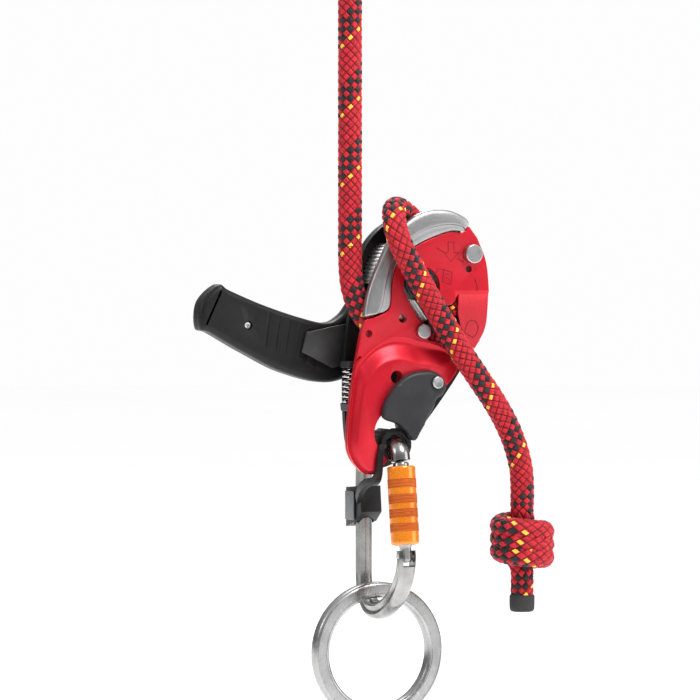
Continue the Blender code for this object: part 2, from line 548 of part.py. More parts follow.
def positioning_bar(mats):
    axis = (CARABINER_X, 0, BAR_Z)
    clip = bmesh.new()
    face = clip.faces.new([clip.verts.new((CARABINER_X - 6.3, y, z)) for y, z in CLIP_OUTLINE])
    made = bmesh.ops.extrude_face_region(clip, geom=[face])
    moved = [item for item in made["geom"] if isinstance(item, bmesh.types.BMVert)]
    bmesh.ops.translate(clip, vec=(12.6, 0, 0), verts=moved)
    bar = solid("positioning_bar", clip, mats["black"], axis)
    arm_route = [(CARABINER_X - 5.6, 21.6, -121.5), (CARABINER_X - 8.0, 16.0, -118.4),
                 (CARABINER_X - 10.6, 6.0, -112.8), (CARABINER_X - 11.4, -4.0, -109.8),
                 (CARABINER_X - 11.4, -12.0, -108.6), (CARABINER_X - 11.2, -15.2, -104.5),
                 (CARABINER_X - 10.6, -15.0, -96.0), (CARABINER_X - 9.0, -14.2, -88.5)]
    section = [(1.7, 2.2), (-1.7, 2.2), (-1.7, -2.2), (1.7, -2.2)]
    combine(bar, swept("positioning_arm", [tuple(p) for p in catmull(arm_route, 3)], lambda point: section,
                       None, axis), "UNION")
    combine(bar, turned("nose_band", (CARABINER_X, 0, BAR_Z), (0, 1, 0), [(9.2, -15.2), (9.2, -12.2)]), "UNION")
    combine(bar, turned("nose_bore", (CARABINER_X, 0, BAR_Z - 0.9), (0, 1, 0), [(7.0, -30.0), (7.0, 0.0)]),
            "DIFFERENCE")
    combine(bar, turned("spine_space", (CARABINER_X, SPINE_Y, 0), (0, 0, 1), [(5.6, -145), (5.6, -105)]),
            "DIFFERENCE")
    turned("positioning_bush", axis, (0, 1, 0), tube_profile(5.7, 8.2, -GAP + 0.6, GAP - 0.6), mats["rubber"],
           sides=20, hollow=True)
    badge = bmesh.new()
    bmesh.ops.create_cube(badge, size=1.0)
    bmesh.ops.scale(badge, vec=(0.9, 11.0, 16.0), verts=badge.verts)
    bmesh.ops.translate(badge, vec=(CARABINER_X - 7.1, 30.4, -124.5), verts=badge.verts)
    solid("positioning_badge", badge, mats["grey"], axis)


def ring(mats):
    half = (RING_RADIUS - RING_BORE) / 2
    middle = (RING_RADIUS + RING_BORE) / 2
    thick = 4.0
    cut = 1.4
    section = [(half, -thick + cut), (half, thick - cut), (half - cut, thick), (-half + cut, thick),
               (-half, thick - cut), (-half, -thick + cut), (-half + cut, -thick), (half - cut, -thick)]
    profile = [(middle + radial, along) for radial, along in section]
    x, y, z = RING_CENTRE
    turned("attachment_ring", RING_CENTRE, (0, 1, 0), profile, mats["aluminium"], sides=56, hollow=True,
           origin=(x, y, z + middle))


def main():
    clear_scene()
    mats = {
        "red": material("red anodised plate", (0.68, 0.010, 0.022), 0.38, 0.55),
        "plate_black": material("black anodised plate", (0.012, 0.012, 0.013), 0.42, 0.6),
        "steel": material("satin steel", (0.52, 0.52, 0.52), 0.33, 1.0),
        "dark_metal": material("dark metal", (0.05, 0.05, 0.05), 0.4, 0.8),
        "aluminium": material("polished aluminium", (0.50, 0.49, 0.48), 0.25, 1.0),
        "bronze": material("sintered bronze", (0.35, 0.20, 0.08), 0.45, 1.0),
        "charcoal": material("charcoal plastic", (0.030, 0.030, 0.032), 0.5, 0.0),
        "black": material("black plastic", (0.008, 0.008, 0.008), 0.45, 0.0),
        "grey": material("grey plastic", (0.16, 0.17, 0.18), 0.5, 0.0),
        "yellow": material("yellow plastic", (0.75, 0.50, 0.03), 0.45, 0.0),
        "rubber": material("black rubber", (0.015, 0.015, 0.015), 0.7, 0.0),
        "orange": material("orange anodised sleeve", (0.83, 0.21, 0.008), 0.3, 0.8),
        "rope": material("red rope", (0.55, 0.012, 0.016), 0.8, 0.0),
    }
    fixed_side_plate(mats)
    hinged_side_plate(mats)
    rope_guide_rim(mats)
    pins(mats)
    safety_gate(mats)
    cam_group(mats)
    catch_group(mats)
    rear_cover(mats)
    handle(mats)
    carabiner(mats)
    positioning_bar(mats)
    ring(mats)
    rope(mats)


main()
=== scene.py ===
"""Visual model of a self-braking rope descender, rigged on its rope and clipped to a ring.

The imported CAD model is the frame: +Z runs up along the loaded rope, the hinged side plate faces -Y,
and the origin is the centre of the cam axle. Shapes are worked out in millimetres and made in metres.
"""

import json
import math

import bmesh
import bpy
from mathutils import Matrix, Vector

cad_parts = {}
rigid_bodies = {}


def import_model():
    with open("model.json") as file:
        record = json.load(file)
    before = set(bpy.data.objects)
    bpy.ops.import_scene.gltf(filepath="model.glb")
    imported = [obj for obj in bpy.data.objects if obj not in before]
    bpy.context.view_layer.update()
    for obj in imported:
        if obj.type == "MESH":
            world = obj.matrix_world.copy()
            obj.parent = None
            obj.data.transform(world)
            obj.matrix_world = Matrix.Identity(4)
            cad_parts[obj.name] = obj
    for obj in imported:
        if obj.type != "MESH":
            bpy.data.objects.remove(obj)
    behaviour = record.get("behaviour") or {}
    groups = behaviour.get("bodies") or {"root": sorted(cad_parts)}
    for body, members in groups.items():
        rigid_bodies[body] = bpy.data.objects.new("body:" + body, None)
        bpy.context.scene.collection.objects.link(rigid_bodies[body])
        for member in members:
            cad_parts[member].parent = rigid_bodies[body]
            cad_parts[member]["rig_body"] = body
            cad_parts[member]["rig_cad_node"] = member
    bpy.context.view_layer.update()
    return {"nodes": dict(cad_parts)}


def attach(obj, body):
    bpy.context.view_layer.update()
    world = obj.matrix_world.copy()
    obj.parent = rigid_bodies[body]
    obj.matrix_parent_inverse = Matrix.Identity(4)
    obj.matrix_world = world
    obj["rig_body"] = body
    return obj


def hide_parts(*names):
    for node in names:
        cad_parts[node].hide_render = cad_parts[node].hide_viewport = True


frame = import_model()

MM = 0.001

# Camera
AZIMUTH = -25.0
ELEVATION = 1.5
TARGET = (-31.7, 14.8, -37.2)
DISTANCE = 2500.0
FRAME_WIDTH = 388.0
SENSOR = 36.0

# Rope
CARRIERS = 8                 # strands in each direction
BRAID_PITCH = 38.0
CELLS = 8                    # mesh cells across one strand
ROPE_GROOVE = 5.45
ROPE_CREST = 6.66
BRAID_PHASE = 30             # rows by which the colours are moved along the rope
LIVE_ROUTE = [(-38.6, 0, 158.0), (-38.6, 0, 120.0), (-38.6, 0, 80.0), (-38.6, 0, 50.0), (-38.6, 0, 20.3)]
WRAP_ROUTE = [(-38.6, 0, 20.0), (-38.4, 0, 9.0), (-36.6, 0, -4.0), (-31.2, 0, -16.5), (-21.0, 0, -27.0),
              (-8.0, 0, -33.0), (6.0, 0, -33.4), (16.8, 0, -27.2), (23.0, 0, -17.0), (24.8, 0, -5.4),
              (22.6, 0, 4.6), (19.2, 0, 11.4), (14.4, 0, 17.9), (9.6, 0, 23.4), (4.8, 0, 28.9)]
TAIL_ROUTE = [(4.4, 0, 29.35), (-0.2, 0, 34.4), (-5.6, -0.3, 38.7), (-11.0, -3.6, 41.1), (-15.8, -9.0, 40.5),
              (-19.0, -15.2, 36.4), (-20.2, -20.0, 29.8), (-18.4, -22.2, 22.0), (-13.6, -21.6, 13.6),
              (-7.6, -20.2, 4.6), (-0.8, -19.0, -5.6), (6.6, -18.6, -16.8), (14.4, -18.4, -28.6),
              (22.6, -18.8, -41.0), (31.2, -19.0, -52.8), (39.8, -19.0, -64.4), (47.4, -19.0, -76.4),
              (53.4, -19.0, -89.0), (57.2, -19.0, -102.0), (58.2, -19.0, -113.0), (58.2, -19.0, -124.0)]
LIVE_JOIN = (-38.6, 0, 26.0)     # stands in for the two ends that meet between the live stretch and the wrap
FACING = (0, -1, 0)              # where the braid's first column points
LOOP_CENTRE = (-38.6, 0.0, 215.0)
LOOP_HALF_WIDTH = 13.5
LOOP_HALF_HEIGHT = 15.5
LEG_OFFSET = 6.6                 # of each of the eye's two legs in the sleeve
LEG_HEIGHTS = (188.0, 192.0)
SLEEVE_FOOT = 158.4
SLEEVE_HEAD = 191.6
KNOT_TURNS = 3.2
KNOT_RADIUS = 11.6
KNOT_TOP = 9.0                   # first and last turn, below the tail's end
KNOT_HEIGHT = 22.0
ROPE_END = 58.5                  # below the tail's end


# Tools

def catmull(points, steps, closed=False):
    """A smooth curve through points of any dimension."""
    points = [Vector(point) for point in points]
    count = len(points)
    curve = []
    for index in range(count if closed else count - 1):
        if closed:
            a, b, c, d = (points[(index + shift) % count] for shift in (-1, 0, 1, 2))
        else:
            b, c = points[index], points[index + 1]
            a = points[index - 1] if index else b * 2 - c
            d = points[index + 2] if index + 2 < count else c * 2 - b
        for step in range(steps):
            t = step / steps
            curve.append(0.5 * (2 * b + (c - a) * t + (2 * a - 5 * b + 4 * c - d) * t ** 2
                                + (3 * b - a - 3 * c + d) * t ** 3))
    if not closed:
        curve.append(points[-1])
    return curve


def rounded(points, steps, closed=False):
    """A smooth outline as plain tuples."""
    return [tuple(p) for p in catmull(points, steps, closed)]


def arc(centre, radius, start, end, steps):
    """Points on an arc in a plane, angles in degrees."""
    angles = (math.radians(start + (end - start) * index / steps) for index in range(steps + 1))
    return [(centre[0] + radius * math.cos(a), centre[1] + radius * math.sin(a)) for a in angles]


def smooth(t):
    """0 to 1 with soft ends."""
    t = max(0.0, min(1.0, t))
    return t * t * (3 - 2 * t)


def finish_mesh(name, bm, mats, sharp=30.0):
    """Turn a bmesh in millimetres into a shaded object with its materials."""
    bmesh.ops.recalc_face_normals(bm, faces=bm.faces)
    bmesh.ops.scale(bm, vec=(MM, MM, MM), verts=bm.verts)
    mesh = bpy.data.meshes.new(name)
    bm.to_mesh(mesh)
    bm.free()
    mesh.shade_smooth()
    mesh.set_sharp_from_angle(angle=math.radians(sharp))
    obj = bpy.data.objects.new(name, mesh)
    bpy.context.scene.collection.objects.link(obj)
    for mat in mats if isinstance(mats, (list, tuple)) else [mats]:
        mesh.materials.append(mat)
    return obj


def place(obj, body, nodes=()):
    """Put a finished piece on its body, in place of its CAD nodes."""
    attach(obj, body)
    if nodes:
        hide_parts(*([nodes] if isinstance(nodes, str) else nodes))
    return obj


def modifier(obj, name, kind, **settings):
    """Add a modifier and return it."""
    step = obj.modifiers.new(name, kind)
    for key, value in settings.items():
        setattr(step, key, value)
    return step


def bake(obj, flat=False):
    """Apply the modifiers of a piece and remove its cutters; flat keeps large flat faces evenly shaded."""
    cutters = [step.object for step in obj.modifiers if step.type == "BOOLEAN"]
    for even in (False, True) if flat else (False,):
        if even:
            modifier(obj, "Even shading", "WEIGHTED_NORMAL", keep_sharp=True)
        evaluated = obj.evaluated_get(bpy.context.evaluated_depsgraph_get())
        mesh = bpy.data.meshes.new_from_object(evaluated)
        obj.modifiers.clear()
        obj.data = mesh
        if not even:
            mesh.set_sharp_from_angle(angle=math.radians(33))
    for cutter_used in cutters:
        bpy.data.objects.remove(cutter_used, do_unlink=True)
    return obj


def boolean(obj, tool):
    """Cut a piece with another; bake() applies the cut."""
    modifier(obj, "Cut", "BOOLEAN", operation="DIFFERENCE", solver="EXACT", object=tool)


def round_edges(obj, width, segments=3, angle=40.0):
    """Bevel the edges sharper than an angle."""
    modifier(obj, "Rounded edges", "BEVEL", width=width * MM, segments=segments, limit_method="ANGLE",
             angle_limit=math.radians(angle), harden_normals=False)


def turned(name, centre, axis, profile, mats, sides=72, hollow=False, wave=None, sharp=30.0):
    """Turn points of (radius, distance along the axis); wave(angle, along, radius) adds to the radius."""
    axis = Vector(axis).normalized()
    across = axis.orthogonal().normalized()
    other = axis.cross(across)
    bm = bmesh.new()
    rings = []
    for radius, along in profile:
        ring = []
        for index in range(sides):
            angle = 2 * math.pi * index / sides
            r = radius + (wave(angle, along, radius) if wave else 0.0)
            ring.append(bm.verts.new(Vector(centre) + axis * along
                                     + r * (math.cos(angle) * across + math.sin(angle) * other)))
        rings.append(ring)
    pairs = list(zip(rings, rings[1:]))
    if hollow:
        pairs.append((rings[-1], rings[0]))
    else:
        bm.faces.new(rings[0])
        bm.faces.new(rings[-1])
    for lower, upper in pairs:
        for index in range(sides):
            after = (index + 1) % sides
            bm.faces.new((lower[index], lower[after], upper[after], upper[index]))
    return finish_mesh(name, bm, mats, sharp)


def turned_on_y(name, x, z, profile, mats, sides=72, **shape):
    """A turned piece with its axis along Y."""
    return turned(name, (x, 0, z), (0, 1, 0), profile, mats, sides, **shape)


def prism(name, outline, y_front, y_back, mats):
    """A flat piece: an outline in X and Z, extruded along Y."""
    bm = bmesh.new()
    face = bm.faces.new([bm.verts.new((x, y_front, z)) for x, z in outline])
    made = bmesh.ops.extrude_face_region(bm, geom=[face])
    moved = [item for item in made["geom"] if isinstance(item, bmesh.types.BMVert)]
    bmesh.ops.translate(bm, vec=(0, y_back - y_front, 0), verts=moved)
    return finish_mesh(name, bm, mats)


def sweep(name, rings, mats, sharp=30.0):
    """Skin a row of closed rings of points."""
    bm = bmesh.new()
    made = [[bm.verts.new(point) for point in ring] for ring in rings]
    bm.faces.new(made[0])
    bm.faces.new(made[-1])
    for lower, upper in zip(made, made[1:]):
        for index in range(len(lower)):
            after = (index + 1) % len(lower)
            bm.faces.new((lower[index], lower[after], upper[after], upper[index]))
    return finish_mesh(name, bm, mats, sharp)


# Materials

def rgb(colour):
    """A colour as three values; a plain number is a grey."""
    return colour if isinstance(colour, (tuple, list)) else (colour, colour, colour)


def new_material(name, colour, roughness, metallic=0.0, **values):
    """A Principled material; values are set on the shader's own sockets."""
    mat = bpy.data.materials.new(name)
    mat.use_nodes = True
    inputs = shader(mat).inputs
    inputs["Base Color"].default_value = (*rgb(colour), 1.0)
    inputs["Roughness"].default_value = roughness
    inputs["Metallic"].default_value = metallic
    for key, value in values.items():
        inputs[key.replace("_", " ")].default_value = value
    return mat


def shader(mat):
    return mat.node_tree.nodes["Principled BSDF"]


def add_node(owner, kind, **settings):
    """A node in a material or world; a setting is an input's value or else a property."""
    node = owner.node_tree.nodes.new(kind)
    for key, value in settings.items():
        if key in node.inputs:
            node.inputs[key].default_value = value
        else:
            setattr(node, key, value)
    return node


def wire(owner, source, output, target, socket):
    owner.node_tree.links.new(source.outputs[output], target.inputs[socket])


def math_node(mat, operation, *terms):
    """A Math node and its output; each term is a number, or a node with the name of its output."""
    node = add_node(mat, "ShaderNodeMath", operation=operation)
    for number, term in enumerate(terms):
        if isinstance(term, tuple):
            wire(mat, *term, node, number)
        else:
            node.inputs[number].default_value = term
    return node, "Value"


def texture(mat, scale, detail=4.0, stretch=(1, 1, 1), coordinates="Object"):
    """Noise, stretched along an axis by giving that axis a small factor."""
    mapping = add_node(mat, "ShaderNodeMapping", Scale=stretch)
    noise = add_node(mat, "ShaderNodeTexNoise", Scale=scale, Detail=detail, Roughness=0.55)
    wire(mat, add_node(mat, "ShaderNodeTexCoord"), coordinates, mapping, "Vector")
    wire(mat, mapping, "Vector", noise, "Vector")
    return noise


def ramp(owner, source, output, low, high, start=0.3, end=0.7):
    """Map a factor to the range low..high, as colours or as values."""
    node = add_node(owner, "ShaderNodeValToRGB")
    for element, value, position in zip(node.color_ramp.elements, (low, high), (start, end)):
        element.position = position
        element.color = (*rgb(value), 1.0)
    wire(owner, source, output, node, "Fac")
    return node


def bump(mat, source, output, distance, strength=1.0):
    """Add a height in millimetres to the surface."""
    node = add_node(mat, "ShaderNodeBump", Strength=strength, Distance=distance * MM)
    wire(mat, source, output, node, "Height")
    wire(mat, node, "Normal", shader(mat), "Normal")


def edge_wear(mat, colour_node, worn, amount=0.5):
    """Lighten convex edges by the surface's pointiness, broken up by noise."""
    edges = ramp(mat, add_node(mat, "ShaderNodeNewGeometry"), "Pointiness", 0.0, 1.0, 0.52, 0.60)
    spotted = math_node(mat, "MULTIPLY", (edges, "Color"), (texture(mat, 900.0, 3.0), "Fac"))
    mix = add_node(mat, "ShaderNodeMixRGB", Color2=(*rgb(worn), 1.0))
    wire(mat, *math_node(mat, "MULTIPLY", spotted, amount), mix, "Fac")
    wire(mat, colour_node, "Color", mix, "Color1")
    wire(mat, mix, "Color", shader(mat), "Base Color")


def surface(name, dark, light, rough, metallic=0.0, grain=900.0, grain_height=0.01, stretch=(1, 1, 1),
            worn=None, wear=0.5, mottle=60.0, **values):
    """Colour that drifts between two shades, roughness between two values, fine grain and worn edges."""
    mat = new_material(name, light, sum(rough) / 2, metallic, **values)
    drift = ramp(mat, texture(mat, mottle, 5.0), "Fac", dark, light)
    fine = texture(mat, grain, 3.0, stretch)
    wire(mat, ramp(mat, fine, "Fac", *rough), "Color", shader(mat), "Roughness")
    if worn:
        edge_wear(mat, drift, worn, wear)
    else:
        wire(mat, drift, "Color", shader(mat), "Base Color")
    bump(mat, fine, "Fac", grain_height)
    return mat


def painted_groove_shade(mat):
    """Painted groove shadow: 1 on a strand's tile, falling to 0.22 at its borders, from the strand
    coordinates.
    """
    split = add_node(mat, "ShaderNodeSeparateXYZ")
    wire(mat, add_node(mat, "ShaderNodeTexCoord"), "UV", split, "Vector")
    edges = []
    for axis in ("X", "Y"):
        part = math_node(mat, "FRACT", (split, axis))
        edges.append(math_node(mat, "ABSOLUTE", math_node(mat, "SUBTRACT", part, 0.5)))
    return ramp(mat, *math_node(mat, "MAXIMUM", *edges), 1.0, 0.22, 0.37, 0.50)


def rope_material(name, dark, light):
    """Filaments that run along each strand, with painted shade darkening the gaps between the strands."""
    mat = new_material(name, light, 0.62, Sheen_Weight=0.12, Sheen_Roughness=0.4, Specular_IOR_Level=0.35)
    fibres = texture(mat, 7.0, 3.0, (1.0, 0.09, 1.0), "UV")
    both = math_node(mat, "MULTIPLY", (fibres, "Fac"), (texture(mat, 330.0, 4.0), "Fac"))
    # Painted shade: the colour is darkened towards each strand's borders, in place of the shadow in the
    # grooves.
    shaded = add_node(mat, "ShaderNodeMixRGB", blend_type="MULTIPLY", Fac=1.0)
    wire(mat, ramp(mat, *both, dark, light, 0.14, 0.36), "Color", shaded, "Color1")
    wire(mat, painted_groove_shade(mat), "Color", shaded, "Color2")
    wire(mat, shaded, "Color", shader(mat), "Base Color")
    bump(mat, fibres, "Fac", 0.35, 0.9)
    return mat


MATS = {
    "rope_red": rope_material("rope_red", (0.30, 0.003, 0.010), (0.66, 0.010, 0.026)),
    "rope_black": rope_material("rope_black", (0.004, 0.004, 0.005), (0.020, 0.021, 0.024)),
    "rope_yellow": rope_material("rope_yellow", (0.75, 0.42, 0.02), (0.98, 0.72, 0.08)),
    "red": surface("red_anodised", (0.50, 0.006, 0.018), (0.60, 0.008, 0.024), (0.30, 0.38), 0.45,
                   grain=1400.0, grain_height=0.006, worn=(0.80, 0.16, 0.18), wear=0.35,
                   Specular_IOR_Level=0.4),
    "plate_black": surface("black_anodised", (0.006, 0.006, 0.0065), (0.013, 0.013, 0.014), (0.34, 0.46), 0.4,
                           worn=0.16, wear=0.6, Specular_IOR_Level=0.35),
    "steel": surface("satin_steel", (0.50, 0.50, 0.51), 0.66, (0.24, 0.38), 1.0, grain=1200.0,
                     grain_height=0.006, worn=0.85, wear=0.5),
    "rim": surface("satin_rim", (0.29, 0.29, 0.295), (0.37, 0.37, 0.375), (0.34, 0.46), 1.0, grain=900.0,
                   grain_height=0.004, worn=0.85, wear=0.9),
    "turned_face": surface("turned_face", (0.38, 0.38, 0.385), 0.46, (0.28, 0.36), 1.0,
                           grain_height=0.001, worn=0.7, wear=0.3),
    "engraving": surface("engraved_line", (0.10, 0.002, 0.004), (0.16, 0.004, 0.008), (0.5, 0.7), 0.2),
    "spring": surface("spring_steel", (0.55, 0.55, 0.56), 0.78, (0.16, 0.28), 1.0),
    "dark_metal": surface("dark_metal", (0.030, 0.030, 0.032), (0.055, 0.055, 0.057), (0.34, 0.48), 0.7,
                          worn=0.25),
    "aluminium": surface("polished_aluminium", (0.24, 0.238, 0.236), (0.42, 0.417, 0.413), (0.16, 0.32), 1.0,
                         grain=500.0, grain_height=0.008, stretch=(1.0, 1.0, 0.12), worn=(0.85, 0.85, 0.84)),
    "ring_metal": surface("brushed_aluminium", 0.30, 0.44, (0.22, 0.38), 1.0,
                          grain=700.0, grain_height=0.008, stretch=(1.0, 1.0, 0.3), worn=(0.85, 0.85, 0.84)),
    "bronze": surface("sintered_bronze", (0.28, 0.16, 0.06), (0.40, 0.24, 0.10), (0.40, 0.55), 1.0,
                      grain=1600.0, grain_height=0.03),
    "charcoal": surface("charcoal_plastic", (0.012, 0.012, 0.014), (0.024, 0.024, 0.027), (0.4, 0.56), 0.0,
                        grain=1500.0, grain_height=0.015, worn=0.09, wear=0.4,
                        Specular_IOR_Level=0.35),
    "black": surface("black_plastic", 0.003, (0.007, 0.007, 0.0075), (0.36, 0.5), 0.0,
                     grain=1500.0, grain_height=0.015, worn=0.05, wear=0.4,
                     Specular_IOR_Level=0.3),
    "grey": surface("grey_plastic", (0.13, 0.14, 0.15), (0.19, 0.20, 0.21), (0.40, 0.55), 0.0, grain=1500.0),
    "yellow": surface("yellow_plastic", (0.70, 0.44, 0.02), (0.82, 0.55, 0.04), (0.35, 0.5), 0.0),
    "rubber": surface("black_rubber", 0.012, 0.026, (0.6, 0.8), 0.0,
                      grain=1100.0, grain_height=0.03),
    "orange": surface("orange_anodised", (0.80, 0.19, 0.006), (0.90, 0.27, 0.012), (0.20, 0.32), 0.35,
                      grain=1300.0, grain_height=0.005, worn=(1.0, 0.55, 0.2), wear=0.3, Coat_Weight=0.5,
                      Coat_Roughness=0.12),
    "orange_knurl": surface("orange_anodised_knurl", (0.48, 0.085, 0.004), (0.62, 0.13, 0.006), (0.32, 0.48),
                            0.35, grain=1300.0, grain_height=0.01),
}


# Stage

LIGHTS = (    # name, azimuth, elevation, distance, size, power in watts
    ("key_light", 18, 52, 1100, 520, 11.0), ("fill_light", 55, 12, 1300, 800, 4.0),
    ("rim_light", 165, 45, 1200, 700, 6.0), ("side_light", -95, 25, 1200, 420, 2.2))
FLOOR_LEVEL = -262.0
FLOOR_RADIUS = 6000.0
BACKDROP = 0.985             # how white the camera sees the world


def studio_world():
    """A white backdrop for the camera, and for the light a gradient that is darker at the sides."""
    world = bpy.data.worlds.new("studio")
    world.use_nodes = True
    seen = world.node_tree.nodes["Background"]
    seen.inputs["Color"].default_value = (1.0, 1.0, 1.0, 1.0)
    seen.inputs["Strength"].default_value = BACKDROP
    light = add_node(world, "ShaderNodeBackground", Strength=1.0)
    split = add_node(world, "ShaderNodeSeparateXYZ")
    wire(world, add_node(world, "ShaderNodeTexCoord"), "Generated", split, "Vector")
    wire(world, ramp(world, split, "Z", 0.10, 0.75, 0.0, 0.75), "Color", light, "Color")
    mix = add_node(world, "ShaderNodeMixShader")
    wire(world, add_node(world, "ShaderNodeLightPath"), "Is Camera Ray", mix, "Fac")
    wire(world, light, "Background", mix, 1)
    wire(world, seen, "Background", mix, 2)
    wire(world, mix, "Shader", world.node_tree.nodes["World Output"], "Surface")
    bpy.context.scene.world = world


def aim(obj, azimuth, elevation, distance):
    """Stand a lamp or the camera off the target and turn it towards it."""
    a, e = math.radians(azimuth), math.radians(elevation)
    outward = Vector((math.sin(a) * math.cos(e), -math.cos(a) * math.cos(e), math.sin(e)))
    obj.location = (Vector(TARGET) + outward * distance) * MM
    obj.rotation_euler = outward.to_track_quat("Z", "Y").to_euler()
    bpy.context.scene.collection.objects.link(obj)


def stage():
    """A pale floor, the world and four soft lamps."""
    bm = bmesh.new()
    bmesh.ops.create_circle(bm, cap_ends=True, segments=96, radius=FLOOR_RADIUS)
    bmesh.ops.translate(bm, vec=(0, 0, FLOOR_LEVEL), verts=bm.verts)
    paint = surface("floor_paint", 0.90, 0.93, (0.6, 0.8), grain=40.0, grain_height=0.05, mottle=2.0,
                    Emission_Color=(1.0, 1.0, 1.0, 1.0), Emission_Strength=0.42)
    floor = finish_mesh("floor", bm, paint)

    studio_world()
    for name, azimuth, elevation, distance, size, power in LIGHTS:
        data = bpy.data.lights.new(name, "AREA")
        data.shape = "DISK"
        data.size = size * MM
        data.energy = power
        aim(bpy.data.objects.new(name, data), azimuth, elevation, distance)
    bpy.context.scene.view_settings.view_transform = "Standard"


def camera():
    """The photograph's view: almost level, from the left of the plates' face."""
    data = bpy.data.cameras.new("camera")
    data.sensor_width = SENSOR
    data.lens = SENSOR * DISTANCE / FRAME_WIDTH
    data.clip_end = 50.0
    eye = bpy.data.objects.new("camera", data)
    aim(eye, AZIMUTH, ELEVATION, DISTANCE)
    bpy.context.scene.camera = eye


# Rope

def walk(points):
    """Distances along a row of points."""
    lengths = [0.0]
    for a, b in zip(points, points[1:]):
        lengths.append(lengths[-1] + (b - a).length)
    return lengths


def carried_frames(points, first_normal):
    """A normal and a binormal at each point that turn with the path and not around it."""
    frames = []
    normal = Vector(first_normal)
    for index in range(len(points)):
        along = (points[min(index + 1, len(points) - 1)] - points[max(index - 1, 0)]).normalized()
        normal = (normal - along * normal.dot(along)).normalized()
        frames.append((normal, along.cross(normal)))
    return frames


def in_braid(column, row):
    """Place in the braid, counted in strands of each direction."""
    shifted = row - BRAID_PHASE
    return (column - shifted) / 2 / CELLS, (column + shifted) / 2 / CELLS


def strand_colour(a, b):
    """The material number at a place in the braid: 0 red, 1 black, 2 yellow."""
    strand, other = math.floor(a), math.floor(b)
    if (strand + other) % 2:
        return 0
    kind = -strand % CARRIERS
    if kind < 3:
        return 1
    return 2 if kind == 3 and abs(a - strand - 0.5) < 0.26 and abs(b - other - 0.5) < 0.40 else 0


def braid_height(a, b):
    """0 in the grooves to 1 on the crest of a tile."""
    across, along = abs(a % 1.0 - 0.5) * 2, abs(b % 1.0 - 0.5) * 2
    if (math.floor(a) + math.floor(b)) % 2:
        across, along = along, across
    return (1.0 - across ** 5) ** 0.55 * (1.0 - 0.85 * along ** 4)


def braided(name, points, frames, lengths, start, end, scale=1.0):
    """A braided sheath along part of a path, on a mesh whose cells line up with the strands."""
    step = BRAID_PITCH / (2 * CARRIERS * CELLS)
    around = CARRIERS * CELLS
    bm = bmesh.new()
    uv = bm.loops.layers.uv.new("strand")
    rows = []
    cursor = 0
    first, last = math.floor(start / step + 0.5), math.floor(end / step + 0.5)
    for row in range(first, last + 1):
        v = min(max(row * step, 0.0), lengths[-1])
        while cursor < len(lengths) - 2 and lengths[cursor + 1] < v:
            cursor += 1
        t = (v - lengths[cursor]) / (lengths[cursor + 1] - lengths[cursor])
        middle = points[cursor].lerp(points[cursor + 1], t)
        normal = frames[cursor][0].lerp(frames[cursor + 1][0], t).normalized()
        side = frames[cursor][1].lerp(frames[cursor + 1][1], t).normalized()
        ring = []
        for index in range(around):
            column = 2 * index + row % 2
            u = math.pi * column / around
            height = braid_height(*in_braid(column, row))
            radius = scale * (ROPE_GROOVE + (ROPE_CREST - ROPE_GROOVE) * height)
            ring.append(bm.verts.new(middle + radius * (math.cos(u) * normal + math.sin(u) * side)))
        rows.append(ring)
    for r in range(1, len(rows) - 1):
        row = first + r
        shift = row % 2
        for index in range(around):
            near, after = (index + shift) % around, (index + 1) % around
            face = bm.faces.new((rows[r][index], rows[r + 1][near], rows[r][after], rows[r - 1][near]))
            column = 2 * index + shift + 1
            a, b = in_braid(column, row)
            face.material_index = strand_colour(a, b)
            swap = (math.floor(a) + math.floor(b)) % 2
            for loop, (dc, dr) in zip(face.loops, ((-1, 0), (0, 1), (1, 0), (0, -1))):
                here = in_braid(column + dc, row + dr)
                loop[uv].uv = here[::-1] if swap else here
    for lower, upper, row in ((rows[0], rows[1], first), (rows[-1], rows[-2], last)):
        bm.faces.new(lower)
        for index in range(around):
            bm.faces.new((lower[index], upper[(index + row % 2) % around], lower[(index + 1) % around]))
    return finish_mesh(name, bm, [MATS["rope_red"], MATS["rope_black"], MATS["rope_yellow"]], 180.0)


def braided_alone(name, points, scale):
    """A braided piece with a route and a colour run of its own."""
    lengths = walk(points)
    return braided(name, points, carried_frames(points, FACING), lengths, 0.0, lengths[-1], scale)


def rope():
    """One rope on one route, in three pieces that share their boundary rows."""
    route = LIVE_ROUTE[:-1] + [LIVE_JOIN] + WRAP_ROUTE[1:-1] + TAIL_ROUTE[1:]
    points = catmull(route, 30)
    lengths = walk(points)
    frames = carried_frames(points, FACING)

    def distance_to(place_at):
        spot = Vector(place_at)
        return lengths[min(range(len(points)), key=lambda i: (points[i] - spot).length)]

    live_end = distance_to(LIVE_ROUTE[-1])
    wrap_end = distance_to(WRAP_ROUTE[-1])
    tail_end = lengths[-1]
    live = braided("rope_live_braid", points, frames, lengths, 0.0, live_end)
    wrap = braided("rope_wrap_braid", points, frames, lengths, live_end, wrap_end)
    tail = braided("rope_tail_braid", points, frames, lengths, wrap_end, tail_end)
    for piece, node in ((live, "rope_live"), (wrap, "rope_wrap"), (tail, "rope_tail")):
        place(piece, "frame", node)
    eye = rope_eye()
    sleeve = eye_sleeve()
    knot = stopper_knot()
    cap = rope_end_cap()


def rope_eye():
    """The loop above the sleeve."""
    x, y, z = LOOP_CENTRE
    leg = [(x + LEG_OFFSET, y, height) for height in LEG_HEIGHTS]
    loop = [(x + LOOP_HALF_WIDTH * math.cos(a), y, z + LOOP_HALF_HEIGHT * math.sin(a))
            for a in (math.radians(-68 + 316 * step / 20) for step in range(21))]
    other_leg = [(x - LEG_OFFSET, y, height) for height in LEG_HEIGHTS[::-1]]
    eye = braided_alone("rope_eye_braid", catmull(leg + loop + other_leg, 10), 0.96)
    return place(eye, "frame", "rope_eye")


